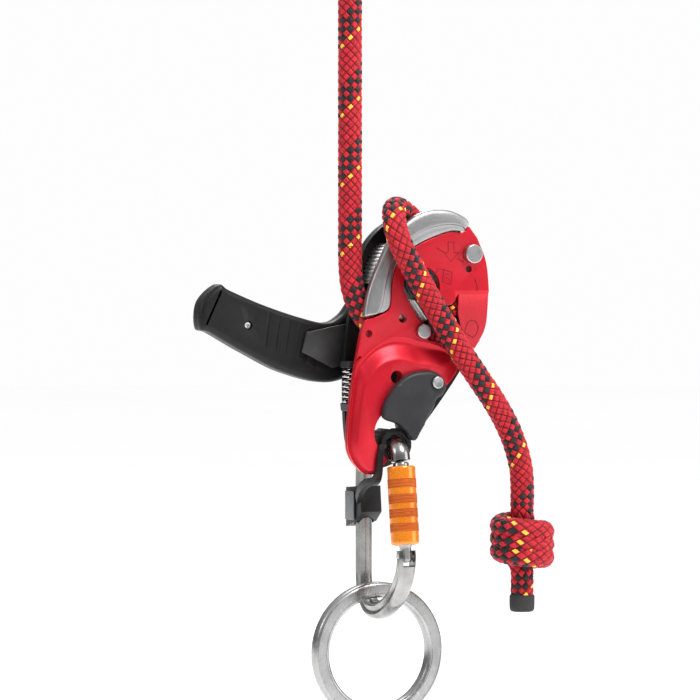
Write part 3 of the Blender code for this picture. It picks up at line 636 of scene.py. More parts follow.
def eye_sleeve():
    """A tapered sleeve, with the stitching showing through as fine rings."""
    x, y, _ = LOOP_CENTRE
    low, high, steps = SLEEVE_FOOT + 0.3, SLEEVE_HEAD - 0.4, 60
    profile = [(7.2, SLEEVE_FOOT), (7.5, SLEEVE_FOOT)]
    for step in range(steps + 1):
        z = low + (high - low) * step / steps
        radius = 7.6 + 5.9 * smooth((z - 159.0) / 15.0)
        stitch = 0.22 * math.cos(2 * math.pi * z / 3.2) if 164.0 < z < 188.0 else 0.0
        profile.append((radius + stitch, z))
    profile.append((12.6, SLEEVE_HEAD))
    piece = turned("eye_sleeve_shrunk", (x, y, 0), (0, 0, 1), profile, MATS["rubber"], sides=64)
    return place(piece, "frame", "eye_sleeve")


def stopper_knot():
    """A barrel knot: rope wound three times round its own end."""
    x, y, z = TAIL_ROUTE[-1]
    steps = 110
    coil = [(x, y, z + 1.2), (x, y, z - 1.0), (x, y, z - 3.0), (x + 0.2, y, z - 5.2)]
    for step in range(steps + 1):
        t = step / steps
        angle = 2 * math.pi * KNOT_TURNS * t + math.radians(40)
        radius = KNOT_RADIUS * smooth(min(t / 0.10, (1 - t) / 0.10) + 0.25)
        level = z - KNOT_TOP - KNOT_HEIGHT * t
        coil.append((x + radius * math.cos(angle), y + radius * math.sin(angle), level))
    coil += [(x, y, z - 37.0), (x, y, z - 46.0), (x, y, z - ROPE_END)]
    return place(braided_alone("stopper_knot_braid", catmull(coil, 3), 0.97), "frame", "stopper_knot")


def rope_end_cap():
    """Heat-shrunk cover on the rope's cut end."""
    x, y, z = TAIL_ROUTE[-1]
    low, high = z - ROPE_END - 0.5, z - ROPE_END + 9.0
    profile = [(0.0, low), (5.4, low), (6.4, low + 0.5), (6.9, low + 1.6), (7.05, low + 4.0),
               (7.05, high - 1.2), (6.8, high - 0.2), (6.4, high), (5.6, high)]
    cap = turned("rope_end_cap", (x, y, 0), (0, 0, 1), profile, MATS["rubber"], sides=48)
    return place(cap, "frame")


# Side plates and rim

PLATE_FRONT = -11.0
PLATE_BACK = -7.5
HOOD_FACE = -15.0
PLATE_PIVOT = (30.6, 16.1)
STUD = (0.5, -26.6)
GATE_RIVET = (5.0, -54.7)
HOLE_CENTRE = (-17.5, -82.4)
HOLE_RADIUS = 12.0
RIM_OUTER = [(-35.5, -19.0), (-33.0, -6.0), (-29.4, 4.4), (-25.5, 13.0), (-21.4, 21.1), (-17.0, 27.0),
             (-12.2, 31.8), (-7.5, 35.3), (-3.0, 37.8), (4.5, 40.2), (12.2, 40.5), (18.5, 39.6), (24.5, 37.2),
             (28.0, 34.5), (28.5, 31.5)]
RIM_INNER = [(-24.5, -16.4), (-19.6, -12.2), (-18.4, 1.7), (-15.3, 11.0), (-10.0, 16.5), (-3.1, 21.1),
             (6.1, 25.2), (17.2, 28.6), (25.0, 28.4)]
# The hood, as (x, z) where its slope starts and (x, z, y) where its face starts
HOOD_EDGES = [
    ((-40.4, -46.0), (-36.6, -57.0, -14.9)), ((-35.5, -39.5), (-33.5, -52.0, -15.0)),
    ((-28.4, -33.9), (-29.1, -46.8, -15.0)), ((-22.5, -31.0), (-23.8, -43.5, -15.0)),
    ((-16.8, -29.6), (-16.1, -42.0, -15.0)), ((-9.5, -30.0), (-8.5, -43.2, -15.0)),
    ((-3.9, -31.6), (-2.0, -45.0, -15.0)), ((5.5, -33.6), (5.5, -45.6, -14.8)),
    ((11.6, -35.4), (11.6, -44.8, -13.8)), ((16.8, -38.4), (16.6, -43.8, -12.2)),
    ((18.7, -42.7), (17.6, -45.2, -11.8)), ((22.3, -48.3), (20.6, -48.6, -11.8)),
    ((16.0, -56.4), (14.8, -55.6, -13.0)), ((9.0, -62.3), (8.2, -61.0, -15.0)),
    ((-3.0, -67.3), (-3.6, -66.0, -15.0)), ((-14.4, -70.8), (-14.1, -69.5, -15.0)),
    ((-20.6, -70.8), (-20.9, -69.5, -15.0)), ((-26.0, -73.9), (-26.9, -73.0, -15.0)),
    ((-29.1, -79.3), (-30.3, -79.0, -15.0)), ((-29.1, -85.5), (-30.3, -85.8, -15.0)),
    ((-26.0, -90.9), (-26.9, -91.8, -14.8)), ((-20.6, -94.0), (-21.6, -95.8, -14.4)),
    ((-21.5, -98.2), (-22.9, -97.8, -14.2)), ((-26.5, -103.0), (-27.0, -101.2, -14.2)),
    ((-30.5, -105.1), (-31.0, -102.8, -14.2)), ((-36.7, -103.4), (-35.4, -100.2, -14.4)),
    ((-43.1, -95.5), (-39.6, -93.2, -14.8)), ((-45.1, -86.0), (-40.4, -84.6, -15.0)),
    ((-43.3, -65.0), (-38.6, -68.0, -15.0))]
# The hood's slope: share of the way to the face, and height from 0 at the plate to 1 at the face; a height
# below 0 is a depth in millimetres
SLOPE = [(0.0, 0.0), (0.06, -0.45), (0.14, -0.85), (0.24, -1.05), (0.34, -0.9), (0.42, -0.35), (0.50, 0.06),
         (0.60, 0.24), (0.70, 0.45), (0.80, 0.66), (0.90, 0.85), (0.97, 0.955), (1.0, 0.985), (1.04, 1.0)]
HOOD_SEAT = PLATE_BACK - 1.7
HOOD_HOLE = (-17.0, -51.6, 3.7)
PLATE_HOLES = [(*PLATE_PIVOT, 4.3), (*STUD, 2.6), (*GATE_RIVET, 2.3), (29.0, 7.6, 1.9), (-11.6, -19.4, 2.5),
               (-32.2, -27.7, 2.1), HOOD_HOLE]
LOBE_DROP = 2.1
MARK_WIDTH = 0.42


def hinged_plate_outline():
    """Rim seat, right lobe, C-shaped notch, hood, hook and carabiner slot."""
    seat = [(-34.5, -20.2), (-24.3, -17.1), (-19.1, -12.6), (-17.9, 1.4), (-14.9, 10.5), (-9.6, 16.0),
            (-2.8, 20.6), (6.2, 24.7), (17.2, 28.1), (25.4, 27.8), (29.2, 31.4)]
    lobe = rounded([(34.3, 25.0), (39.8, 11.7), (41.6, -3.9), (41.6, -15.0), (39.8, -26.0), (33.7, -36.5)], 8)
    notch = [(30.0, -34.0), (25.0, -24.0), (23.4, -17.0), (23.6, -6.0), (18.6, -12.0), (13.0, -13.0)]
    notch += arc((0.0, -2.0), 11.0, -42, 190, 42)
    notch += [(-7.6, -11.0), (-1.2, -20.5), (3.2, -23.2), (4.6, -27.0), (4.0, -31.5), (11.0, -33.2)]
    tip = [(16.5, -37.5), (18.6, -42.7), (22.6, -48.3), (16.0, -56.5), (9.0, -62.5), (-3.0, -67.5)]
    slot = arc(HOLE_CENTRE, HOLE_RADIUS, 75, 255, 40)
    hook = [(-21.5, -98.4), (-26.5, -103.2), (-30.5, -105.3)]
    flank = rounded([(-36.7, -103.6), (-43.3, -95.5), (-45.3, -86.0), (-43.5, -65.0), (-40.5, -46.0),
                     (-37.0, -28.0)], 8)
    return rounded(seat, 5) + lobe + notch + tip + slot + hook + flank


def inset(outline, amount):
    """Move each point of an outline inwards; amount is a number or a function of the point."""
    points = [Vector(p) for p in outline]
    area = sum(a.x * b.y - b.x * a.y for a, b in zip(points, points[1:] + points[:1]))
    turn = 1.0 if area > 0 else -1.0
    moved = []
    for index, point in enumerate(points):
        along = (points[(index + 1) % len(points)] - points[index - 1]).normalized()
        step = amount(point) if callable(amount) else amount
        moved.append(point + turn * Vector((-along.y, along.x)) * step)
    return [tuple(p) for p in moved]


def drilled(obj, holes, y_front, y_back, sides=40):
    """Cut round holes, each (x, z, radius), along Y."""
    for x, z, radius in holes:
        boolean(obj, turned_on_y("cutter", x, z, [(radius, y_front), (radius, y_back)], [], sides))


def hood():
    """The raised part of the hinged plate: a scooped slope that climbs from the plate to a flat face."""
    edges = catmull([(*base, *top) for base, top in HOOD_EDGES], 7, closed=True)

    def ring(share, height):
        placed = []
        for bx, bz, tx, tz, ty in edges:
            if height > 0:
                climb = height * (PLATE_FRONT - ty)
            else:
                climb = height * min(1.0, math.hypot(tx - bx, tz - bz) / 6.0)
            placed.append((bx + (tx - bx) * share, PLATE_FRONT - climb, bz + (tz - bz) * share))
        return placed

    rings = [[(x, HOOD_SEAT, z) for x, _, z in ring(0.0, 0.0)]] + [ring(*level) for level in SLOPE]
    form = sweep("hinged_plate_hood", rings, MATS["red"], sharp=55.0)
    drilled(form, [(*GATE_RIVET, 2.3), HOOD_HOLE], -30, 0)
    return place(bake(form), "frame")


def hood_pocket():
    """What is cut out of the plate to let the hood in, a little wider than the plate at its outer edges."""
    foot = rounded([base for base, _ in HOOD_EDGES], 7, closed=True)
    wide = []
    for (x, z), out in zip(foot, inset(foot, -1.5)):
        at_the_edge = x < -36.5 or z < -41.0
        wide.append(out if at_the_edge else (x, z))
    return prism("cutter", wide, -20.0, HOOD_SEAT - 0.05, [])


def lobe_scoop():
    """A hollow that drops the lower end of the right lobe behind the rest of the plate."""
    slope = [(0.0, -4.2), (0.5, -4.9), (1.0, -5.8), (1.4, -6.9), (1.7, -8.3), (1.92, -10.2), (2.05, -12.6),
             (LOBE_DROP, -15.0)]
    section = [(-20.0, -4.2)] + [(PLATE_FRONT + depth, z) for depth, z in catmull(slope, 3)]
    section += [(PLATE_FRONT + LOBE_DROP, -48.0), (-20.0, -48.0)]
    rings = [[(20.0 + 0.17 * (-4.2 - z), y, z) for y, z in section], [(50.0, y, z) for y, z in section]]
    return sweep("cutter", rings, [])


def hinged_plate():
    """The red plate: its outline, the dropped lobe, the pocket for the hood and the holes."""
    plate = prism("hinged_plate", hinged_plate_outline(), PLATE_FRONT, PLATE_BACK, MATS["red"])
    round_edges(plate, 0.45, 3, 50.0)
    boolean(plate, lobe_scoop())
    boolean(plate, hood_pocket())
    drilled(plate, PLATE_HOLES, -30, 0)
    return place(bake(plate, flat=True), "frame", "hinged_side_plate")


def strokes(name, lines, y):
    """Fine engraved lines on a flat face, as thin round strokes that are half sunk in it."""
    curve = bpy.data.curves.new(name, "CURVE")
    curve.dimensions = "3D"
    curve.bevel_depth = MARK_WIDTH / 2 * MM
    curve.bevel_resolution = 1
    curve.use_fill_caps = True
    for line in lines:
        spline = curve.splines.new("POLY")
        spline.points.add(len(line) - 1)
        for target, (x, z) in zip(spline.points, line):
            target.co = (x * MM, y * MM, z * MM, 1.0)
    obj = bpy.data.objects.new(name, curve)
    bpy.context.scene.collection.objects.link(obj)
    evaluated = obj.evaluated_get(bpy.context.evaluated_depsgraph_get())
    mesh = bpy.data.meshes.new_from_object(evaluated)
    bpy.data.objects.remove(obj, do_unlink=True)
    piece = bpy.data.objects.new(name, mesh)
    bpy.context.scene.collection.objects.link(piece)
    mesh.materials.clear()
    mesh.materials.append(MATS["engraving"])
    place(piece, "frame")


def plate_marks():
    """Generic engraved marks: a rope line with an arrow, an open booklet, a loading line and an end mark."""
    rope_line = [[(8.8, 19.7), (13.9, 16.9)], [(21.4, 13.7), (25.8, 11.5)]]
    arrow = [[(16.2, 22.6), (19.8, 22.6), (19.8, 16.8), (22.8, 16.8), (18.0, 11.8), (13.8, 16.8),
              (16.2, 16.8), (16.2, 22.6)]]
    booklet = [[(9.2, 5.4), (9.4, 8.0), (13.6, 7.6)], [(14.6, 5.3), (17.3, 4.3)], [(14.3, 3.2), (17.0, 2.2)],
               [(13.6, 7.6), (12.8, 0.8), (17.6, -1.0), (18.8, 5.6), (13.6, 7.6)]]
    loading_line = [rounded([(32.8, 2.2), (34.0, -1.4), (34.3, -4.6)], 6)]
    end_mark = rounded([(28.6, -23.6), (30.6, -21.0), (34.0, -21.4), (35.8, -24.6), (34.4, -29.0),
                        (32.6, -30.4)], 5)
    strokes("plate_marks", rope_line + arrow + booklet + loading_line, PLATE_FRONT - 0.02)
    strokes("lobe_mark", [end_mark + [(27.4, -27.4), (28.6, -23.6)]], PLATE_FRONT + LOBE_DROP - 0.02)


def along_polyline(points, count):
    """Evenly spaced points along a curve."""
    lengths = walk(points)
    cursor = 0
    spaced = []
    for index in range(count + 1):
        v = lengths[-1] * index / count
        while cursor < len(lengths) - 2 and lengths[cursor + 1] < v:
            cursor += 1
        t = (v - lengths[cursor]) / max(1e-9, lengths[cursor + 1] - lengths[cursor])
        spaced.append(points[cursor].lerp(points[cursor + 1], t))
    return spaced


def rope_rim():
    """The rim that the rope rubs on: a sloping outer band, a step line and a narrower inner band."""
    steps = 150
    outer = along_polyline(catmull(RIM_OUTER, 12), steps)
    inner = along_polyline(catmull(RIM_INNER, 12), steps)
    profile = [(0.00, -8.6), (0.00, -10.9), (0.015, -11.7), (0.045, -12.3), (0.09, -12.7), (0.20, -13.0),
               (0.36, -13.25), (0.50, -13.38), (0.585, -13.4), (0.605, -13.3), (0.62, -12.95), (0.64, -12.55),
               (0.66, -12.4), (0.80, -12.3), (0.93, -12.1), (0.97, -11.8), (1.0, -11.2), (1.0, -8.0),
               (0.5, -8.0)]
    rings = []
    for index, (a, b) in enumerate(zip(outer, inner)):
        edge = min(index, steps - index) / steps * 175.0
        round_end = math.sqrt(max(0.0, 1 - (1 - min(1.0, edge / 3.2)) ** 2))
        narrow = 0.5 - 0.5 * (0.55 + 0.45 * round_end)
        sink = 2.6 * (1 - round_end)
        ring = []
        for t, y in profile:
            share = narrow + (1 - 2 * narrow) * t
            ring.append((a.x + (b.x - a.x) * share, min(y + sink, -8.0), a.y + (b.y - a.y) * share))
        rings.append(ring)
    rim = sweep("rope_rim", rings, MATS["rim"], sharp=38.0)
    return place(rim, "frame", "rope_guide_rim")


def faced_pin(name, spot, radius, y_back, y_face, node, dish=0.0):
    """A turned head with a chamfer and fine concentric tool marks on its face."""
    profile = [(radius - 0.3, y_back), (radius, y_back - 0.25), (radius, y_face + 0.55),
               (radius - 0.12, y_face + 0.3), (radius - 0.5, y_face + 0.03), (radius - 0.7, y_face)]
    steps = int(radius / 0.14)
    for step in range(steps):
        r = (radius - 0.9) * (1 - step / steps)
        profile.append((r, y_face + 0.012 * (step % 2) + dish * (1 - r / radius)))
    profile.append((0.02, y_face + dish))
    place(turned_on_y(name, *spot, profile, MATS["turned_face"], 80), "frame", node)


def pins():
    """The heads that show and the shanks behind them."""
    faced_pin("pivot_head", PLATE_PIVOT, 5.25, PLATE_FRONT - 0.3, -15.15, "plate_pivot_pin")
    faced_pin("stud_head", STUD, 4.1, PLATE_FRONT - 0.3, -14.2, "locking_stud")
    faced_pin("gate_rivet_head", GATE_RIVET, 3.4, HOOD_FACE - 5.8, HOOD_FACE - 6.95, "gate_rivet", dish=0.25)
    pivot = [(4.0, -11.3), (4.0, 11.3), (5.3, 11.3), (5.4, 11.6), (5.4, 12.7), (5.0, 13.35), (3.2, 13.4),
             (2.8, 12.9), (0.02, 12.9)]
    for name, spot, profile, sides in (("pivot_shank", PLATE_PIVOT, pivot, 64),
                                       ("gate_shank", GATE_RIVET, [(2.0, -20.8), (2.0, -7.4)], 32),
                                       ("stud_shank", STUD, [(2.3, -11.3), (2.3, -7.4)], 32)):
        place(turned_on_y(name, *spot, profile, MATS["steel"], sides), "frame")


# Gate, axle and the parts between the plates

SAFETY_GATE = [(-27.6, -71.8), (-25.4, -64.0), (-18.5, -54.7), (-10.5, -49.6), (0.5, -48.2), (7.2, -50.3),
               (11.2, -56.0), (9.4, -61.4), (5.4, -63.9), (3.6, -68.6), (-1.6, -77.0), (-4.8, -82.0),
               (-7.6, -86.3), (-10.6, -85.4), (-14.2, -80.6), (-19.2, -77.0), (-25.4, -74.8)]


def safety_gate():
    """The plastic gate: a flat face and a rounded edge that widens into a bevel on its right flank."""
    outline = rounded(SAFETY_GATE, 8, closed=True)

    def flank(point):
        return 2.6 if point.x > -2.0 or point.y > -55.0 else 1.0

    back = HOOD_FACE - 1.5
    levels = [(0.35, back), (0.0, back - 0.4), (0.0, back - 1.5)]
    for angle in (18, 36, 54, 70, 82, 90):
        a = math.radians(angle)
        levels.append((1 - math.cos(a), back - 1.5 - 2.5 * math.sin(a)))
    rings = [[(x, y, z) for x, z in inset(outline, lambda p, s=share: flank(p) * s)] for share, y in levels]
    gate = sweep("safety_gate_cover", rings, MATS["charcoal"], sharp=50.0)
    drilled(gate, [(*GATE_RIVET, 2.3)], -30, 0)
    round_edges(gate, 0.12, 2, 50.0)
    return place(bake(gate), "safety_gate", "safety_gate")


def coil_spring(node, body, centre, start, end, radius, wire_radius, turns, along=(0, 1, 0)):
    """A wound spring along an axis, from one distance to the other."""
    axis = Vector(along)
    across = axis.orthogonal().normalized()
    other = axis.cross(across)
    steps = int(turns * 28)
    rings = []
    for step in range(steps + 1):
        t = step / steps
        angle = 2 * math.pi * turns * t
        out = math.cos(angle) * across + math.sin(angle) * other
        tangent = math.cos(angle) * other - math.sin(angle) * across
        up = tangent.cross(out)
        middle = Vector(centre) + axis * (start + (end - start) * t) + out * radius
        rings.append([middle + wire_radius * (math.cos(a) * out + math.sin(a) * up)
                      for a in (2 * math.pi * k / 10 for k in range(10))])
    place(sweep(f"{node}_coil", rings, MATS["spring"], sharp=60.0), body, node)


def springs():
    """The handle's return spring and the springs of the gate, the catch and the button."""
    x, z = GATE_RIVET
    coil_spring("return_spring", "frame", (-39.0, 1.5, 0), -47.4, -65.4, 3.0, 0.55, 6.5, (0, 0, 1))
    coil_spring("gate_spring", "frame", (x, 0, z), HOOD_FACE - 1.1, HOOD_FACE - 0.5, 2.85, 0.25, 2.0)
    coil_spring("catch_spring", "frame", (-22.0, 0, -54.0), 3.7, 6.6, 3.0, 0.32, 4.0)
    coil_spring("button_spring", "handle", (0, 0, BUTTON_Z), 15.4, 17.2, 1.95, 0.22, 3.0)


def axle():
    """A domed axle end in a black ring."""
    reach, steps = 7.2, 14
    dome = [(5.6, -7.4), (reach, -9.4), (reach, -9.7)]
    for step in range(1, steps):
        t = step / steps
        dome.append((reach * (1 - t), -9.7 - 0.9 * math.sin(math.pi / 2 * t)))
    dome.append((0.02, -10.6))
    place(turned_on_y("axle_end", 0, 0, dome, MATS["turned_face"]), "frame")
    ring = [(7.4, -7.0), (8.9, -7.0), (9.0, -8.8), (8.8, -9.6), (8.3, -9.9), (7.7, -9.8), (7.4, -9.5)]
    place(turned_on_y("axle_ring", 0, 0, ring, MATS["charcoal"], hollow=True), "frame", "axle_cap")


def guide_insert():
    """The ribbed insert behind the rope, with a saw-toothed edge towards the rope."""
    back = [(-14.5, 19.5), (-18.5, 14.5), (-22.0, 7.0), (-24.0, 0.0)]
    front = catmull([(-29.0, 0.0), (-26.5, 9.5), (-22.0, 18.5), (-18.0, 22.0)], 8)
    teeth = []
    for index, point in enumerate(along_polyline(front, 22)):
        teeth.append((point.x + (1.3 if index % 2 else 0.0), point.y))
    insert = prism("guide_insert_ribbed", teeth + back, -7.2, 7.2, MATS["steel"])
    round_edges(insert, 0.18, 2, 30.0)
    return place(bake(insert), "frame", "rope_guide_insert")


# Rear: fixed plate, cover and handle

HANDLE_FRONT = 17.2
HANDLE_BACK = 30.2
BUTTON_Z = 9.6
COVER_RIVETS = ((-20.0, 11.0), (14.0, -25.0))
RIVET_HOLES = [(x, z, 1.9) for x, z in COVER_RIVETS]
FIXED_PLATE_HOLES = [(*HOLE_CENTRE, HOLE_RADIUS), (*PLATE_PIVOT, 4.3), (0, 0, 8.3), (-22.0, -54.0, 2.3),
                     (18.5, -42.6, 2.3), (34.0, -28.0, 2.3), *RIVET_HOLES]
HANDLE_SCREWS = ((-42.0, -38.5), (-92.0, -23.0))
FIXED_PLATE = [(-26.0, 19.0), (-20.0, 27.0), (-12.0, 33.0), (0.0, 38.0), (12.0, 39.5), (24.0, 36.0),
               (34.0, 27.0), (40.0, 13.0), (41.5, -2.0), (41.5, -15.0), (40.0, -28.0), (37.5, -40.0),
               (33.0, -49.0), (23.0, -63.0), (11.0, -78.0), (0.5, -90.0), (-4.5, -98.0), (-16.0, -102.6),
               (-27.0, -100.5), (-35.0, -93.0), (-37.8, -80.0), (-38.6, -60.0), (-38.0, -40.0),
               (-36.5, -25.0), (-33.5, -8.0), (-30.0, 8.0)]
REAR_COVER = [(-25.5, 20.0), (-19.0, 28.0), (-11.0, 33.6), (0.0, 37.5), (12.0, 38.0), (23.0, 34.5),
              (32.0, 26.0), (37.0, 13.0), (37.5, -2.0), (34.0, -17.0), (27.0, -28.0), (16.0, -34.5),
              (3.0, -37.5), (-10.0, -36.5), (-21.0, -31.0), (-28.5, -21.0), (-31.5, -8.0), (-30.5, 8.0)]


def fixed_plate():
    """The black plate behind the rope."""
    plate = prism("fixed_plate", rounded(FIXED_PLATE, 7, closed=True), 7.5, 11.0, MATS["plate_black"])
    drilled(plate, FIXED_PLATE_HOLES, 0, 20)
    round_edges(plate, 0.6, 3, 50.0)
    return place(bake(plate, flat=True), "frame", "fixed_side_plate")


def rear_cover():
    """The moulded cover with a ring groove round the hub, and its two rivets."""
    cover = prism("rear_cover_moulded", rounded(REAR_COVER, 7, closed=True), 11.3, 14.2, MATS["black"])
    drilled(cover, [(0, 0, 15.2), (*PLATE_PIVOT, 6.2), *RIVET_HOLES], 0, 30)
    groove = [(19.0, 13.7), (20.2, 13.7), (20.2, 20.0), (19.0, 20.0)]
    boolean(cover, turned_on_y("cutter", 0, 0, groove, [], 90, hollow=True))
    round_edges(cover, 0.7, 3, 50.0)
    place(bake(cover, flat=True), "frame", "rear_cover")
    head = [(1.6, 7.8), (1.6, 14.5), (3.0, 14.5), (2.95, 14.8), (2.5, 15.15), (1.6, 15.35), (0.02, 15.4)]
    for number, spot in enumerate(COVER_RIVETS, start=1):
        place(turned_on_y(f"cover_rivet_head_{number}", *spot, head, MATS["steel"], 40), "frame",
              f"cover_rivet_{number}")


def handle_outline(half_root, half_end, steps):
    """The grip: a bent paddle from the hub to the far left, half widths at its root and its end."""
    spine = [(Vector(p), half) for p, half in (
        ((-10.0, -13.0), half_root * 0.80), ((-24.0, -30.0), half_root * 0.95), ((-42.0, -38.5), half_root),
        ((-64.0, -34.5), half_root * 0.97), ((-88.0, -25.0), half_end * 1.10), ((-108.0, -15.5), half_end))]
    upper = []
    lower = []
    for index, (point, half) in enumerate(spine):
        before = spine[max(index - 1, 0)][0]
        after = spine[min(index + 1, len(spine) - 1)][0]
        along = (after - before).normalized()
        side = Vector((along.y, -along.x))
        upper.append(point + side * half)
        lower.append(point - side * half)
    along = (spine[-1][0] - spine[-2][0]).normalized()
    end = [upper[-1] + along * half_end * 0.55, spine[-1][0] + along * half_end * 0.95,
           lower[-1] + along * half_end * 0.55]
    return rounded(upper + end + lower[::-1], steps, closed=True)


def handle_shell(name, node, seam, face):
    """Half of the grip: crowned towards its face, with six grip grooves and a round hub opening."""
    outline = handle_outline(16.5, 13.0, 10)
    toward = 1.0 if face > seam else -1.0
    depth = abs(face - seam)
    rings = [[(x, seam, z) for x, z in inset(outline, 0.25)],
             [(x, seam + toward * 0.3, z) for x, z in outline]]
    for angle in (0, 15, 30, 45, 60, 72, 82, 90):
        a = math.radians(angle)
        y = seam + toward * (depth - 3.2 + 3.2 * math.sin(a))
        rings.append([(x, y, z) for x, z in inset(outline, 3.4 * (1 - math.cos(a)))])
    shell = sweep(name, rings, MATS["black"], sharp=60.0)
    for offset in range(6):
        x = -52.0 - 6.0 * offset
        z = -36.8 + 2.3 * offset
        groove = [(x - 0.55, z - 9.5), (x + 0.55, z - 9.5), (x + 3.4, z + 9.5), (x + 2.3, z + 9.5)]
        ends = sorted((face - toward * 0.35, face + toward * 2.0))
        boolean(shell, prism("cutter", groove, *ends, []))
    drilled(shell, [(0, 0, 14.3)], 0, 60, 80)
    drilled(shell, [(x, z, 2.5) for x, z in HANDLE_SCREWS], 0, 60)
    round_edges(shell, 0.15, 2, 50.0)
    return place(bake(shell), "handle", node)


def handle():
    """Two grip shells with their screws, the button and the hub cap."""
    middle = (HANDLE_FRONT + HANDLE_BACK) / 2
    handle_shell("grip_front", "handle_shell_front", middle - 0.15, HANDLE_FRONT)
    handle_shell("grip_back", "handle_shell_back", middle + 0.15, HANDLE_BACK)
    screw = [(0.02, 19.3), (0.9, 19.3), (0.95, 18.4), (1.5, 18.3), (2.1, 18.6), (2.2, 19.0), (2.2, 29.2),
             (1.9, 29.6), (0.95, 29.6), (0.9, 28.8), (0.02, 28.8)]
    for number, spot in enumerate(HANDLE_SCREWS, start=1):
        place(turned_on_y(f"grip_screw_{number}", *spot, screw, MATS["steel"], 36), "handle",
              f"handle_screw_{number}")
    button = [(2.3, 21.0), (2.6, 21.3), (2.6, 29.2), (2.4, 29.7), (1.8, 30.0), (0.02, 29.9)]
    place(turned_on_y("button_cap", 0, BUTTON_Z, button, MATS["yellow"], 48), "button", "handle_button")
    disc = [(8.4, 25.8), (8.8, 26.1), (8.8, 27.0), (8.5, 27.6), (7.8, 28.0), (6.2, 28.2), (5.8, 27.9),
            (4.6, 27.9), (4.2, 28.2), (0.02, 28.2)]
    cap = turned_on_y("hub_cap_moulded", 0, 0, disc, MATS["black"])
    drilled(cap, [(0, BUTTON_Z, 3.0)], 20, 40)
    place(bake(cap), "handle", "hub_cap")


# Carabiner and ring

CARABINER_X = -17.5
BAR_RADIUS = 5.3
SPINE_HALF_WIDTH = 4.3
BAR_Z = HOLE_CENTRE[1] - HOLE_RADIUS + BAR_RADIUS + 0.3
SPINE_Y = 27.0
GATE_HINGE = (-27.3, -149.5)
GATE_TOP = (-20.6, -98.1)
HINGE_SLOT = 7.2
KNURLED = ((9.0, 14.6), (17.4, 23.0), (25.4, 30.8), (33.4, 38.8))    # bands, down from the gate's top
KNURL_STARTS = 60
RING_CENTRE = (-16.5, 12.0, -205.2)
RING_RADIUS = 39.0
RING_BORE = 30.3


def carabiner_body():
    """A forged body: round where it turns in the plates, then an I-beam with a groove in each flat side."""
    route = [(-20.7, BAR_Z - 8.8), (-19.2, BAR_Z - 4.0), (-14.0, BAR_Z - 0.4), (-7.5, BAR_Z), (0.0, BAR_Z),
             (8.0, BAR_Z), (15.5, BAR_Z - 0.6), (22.4, BAR_Z - 4.2), (26.2, BAR_Z - 10.8), (SPINE_Y, -107.0),
             (SPINE_Y, -128.0), (SPINE_Y, -150.0), (SPINE_Y, -164.0), (24.8, -173.2), (17.5, -180.0),
             (6.5, -181.5), (-5.0, -178.4), (-16.5, -171.4), (-24.6, -162.0), (-28.0, -152.5),
             (-27.4, -146.4)]
    path = catmull(route, 9)
    lengths = walk(path)
    rings = []
    for index, point in enumerate(path):
        along = (path[min(index + 1, len(path) - 1)] - path[max(index - 1, 0)]).normalized()
        normal = Vector((0, along.y, -along.x))
        slimmer = max(0.0, min(1.0, (point.x - 16.0) / 10.0))
        wide = BAR_RADIUS + slimmer * (SPINE_HALF_WIDTH - BAR_RADIUS)
        left = lengths[-1] - lengths[index]
        beam = smooth((point.y < BAR_Z - 2) * (lengths[index] - 52.0) / 10.0) * smooth((left - 8.0) / 10.0)
        ring = []
        for step in range(40):
            angle = 2 * math.pi * step / 40
            c, s = math.cos(angle), math.sin(angle)
            across = math.copysign(abs(c) ** (1.0 - 0.25 * beam), c) * wide
            down = s * (BAR_RADIUS - 0.2)
            groove = beam * 1.35 * math.exp(-(down / 1.9) ** 4)
            across -= math.copysign(groove, across) if abs(c) > 0.3 else 0.0
            ring.append(Vector((CARABINER_X + across, point.x, point.y)) + normal * down)
        rings.append(ring)
    body = sweep("carabiner_forging", rings, MATS["aluminium"], sharp=50.0)
    left, right = CARABINER_X - HINGE_SLOT / 2, CARABINER_X + HINGE_SLOT / 2
    boolean(body, prism("cutter", [(left, -155.0), (right, -155.0), (right, -140.0), (left, -140.0)], -40.0,
                        -15.0, []))
    boolean(body, hinge_bore())
    round_edges(body, 0.25, 2, 50.0)
    return place(bake(body), "carabiner", "carabiner_body")


def hinge_bore():
    """What drills the gate's hinge."""
    return turned("cutter", (CARABINER_X, *GATE_HINGE), (1, 0, 0), [(1.7, -10), (1.7, 10)], [], sides=24)


def gate_axis():
    """The gate's top, its direction down to the hinge, and its length."""
    top, hinge = Vector((CARABINER_X, *GATE_TOP)), Vector((CARABINER_X, *GATE_HINGE))
    return top, (hinge - top).normalized(), (hinge - top).length


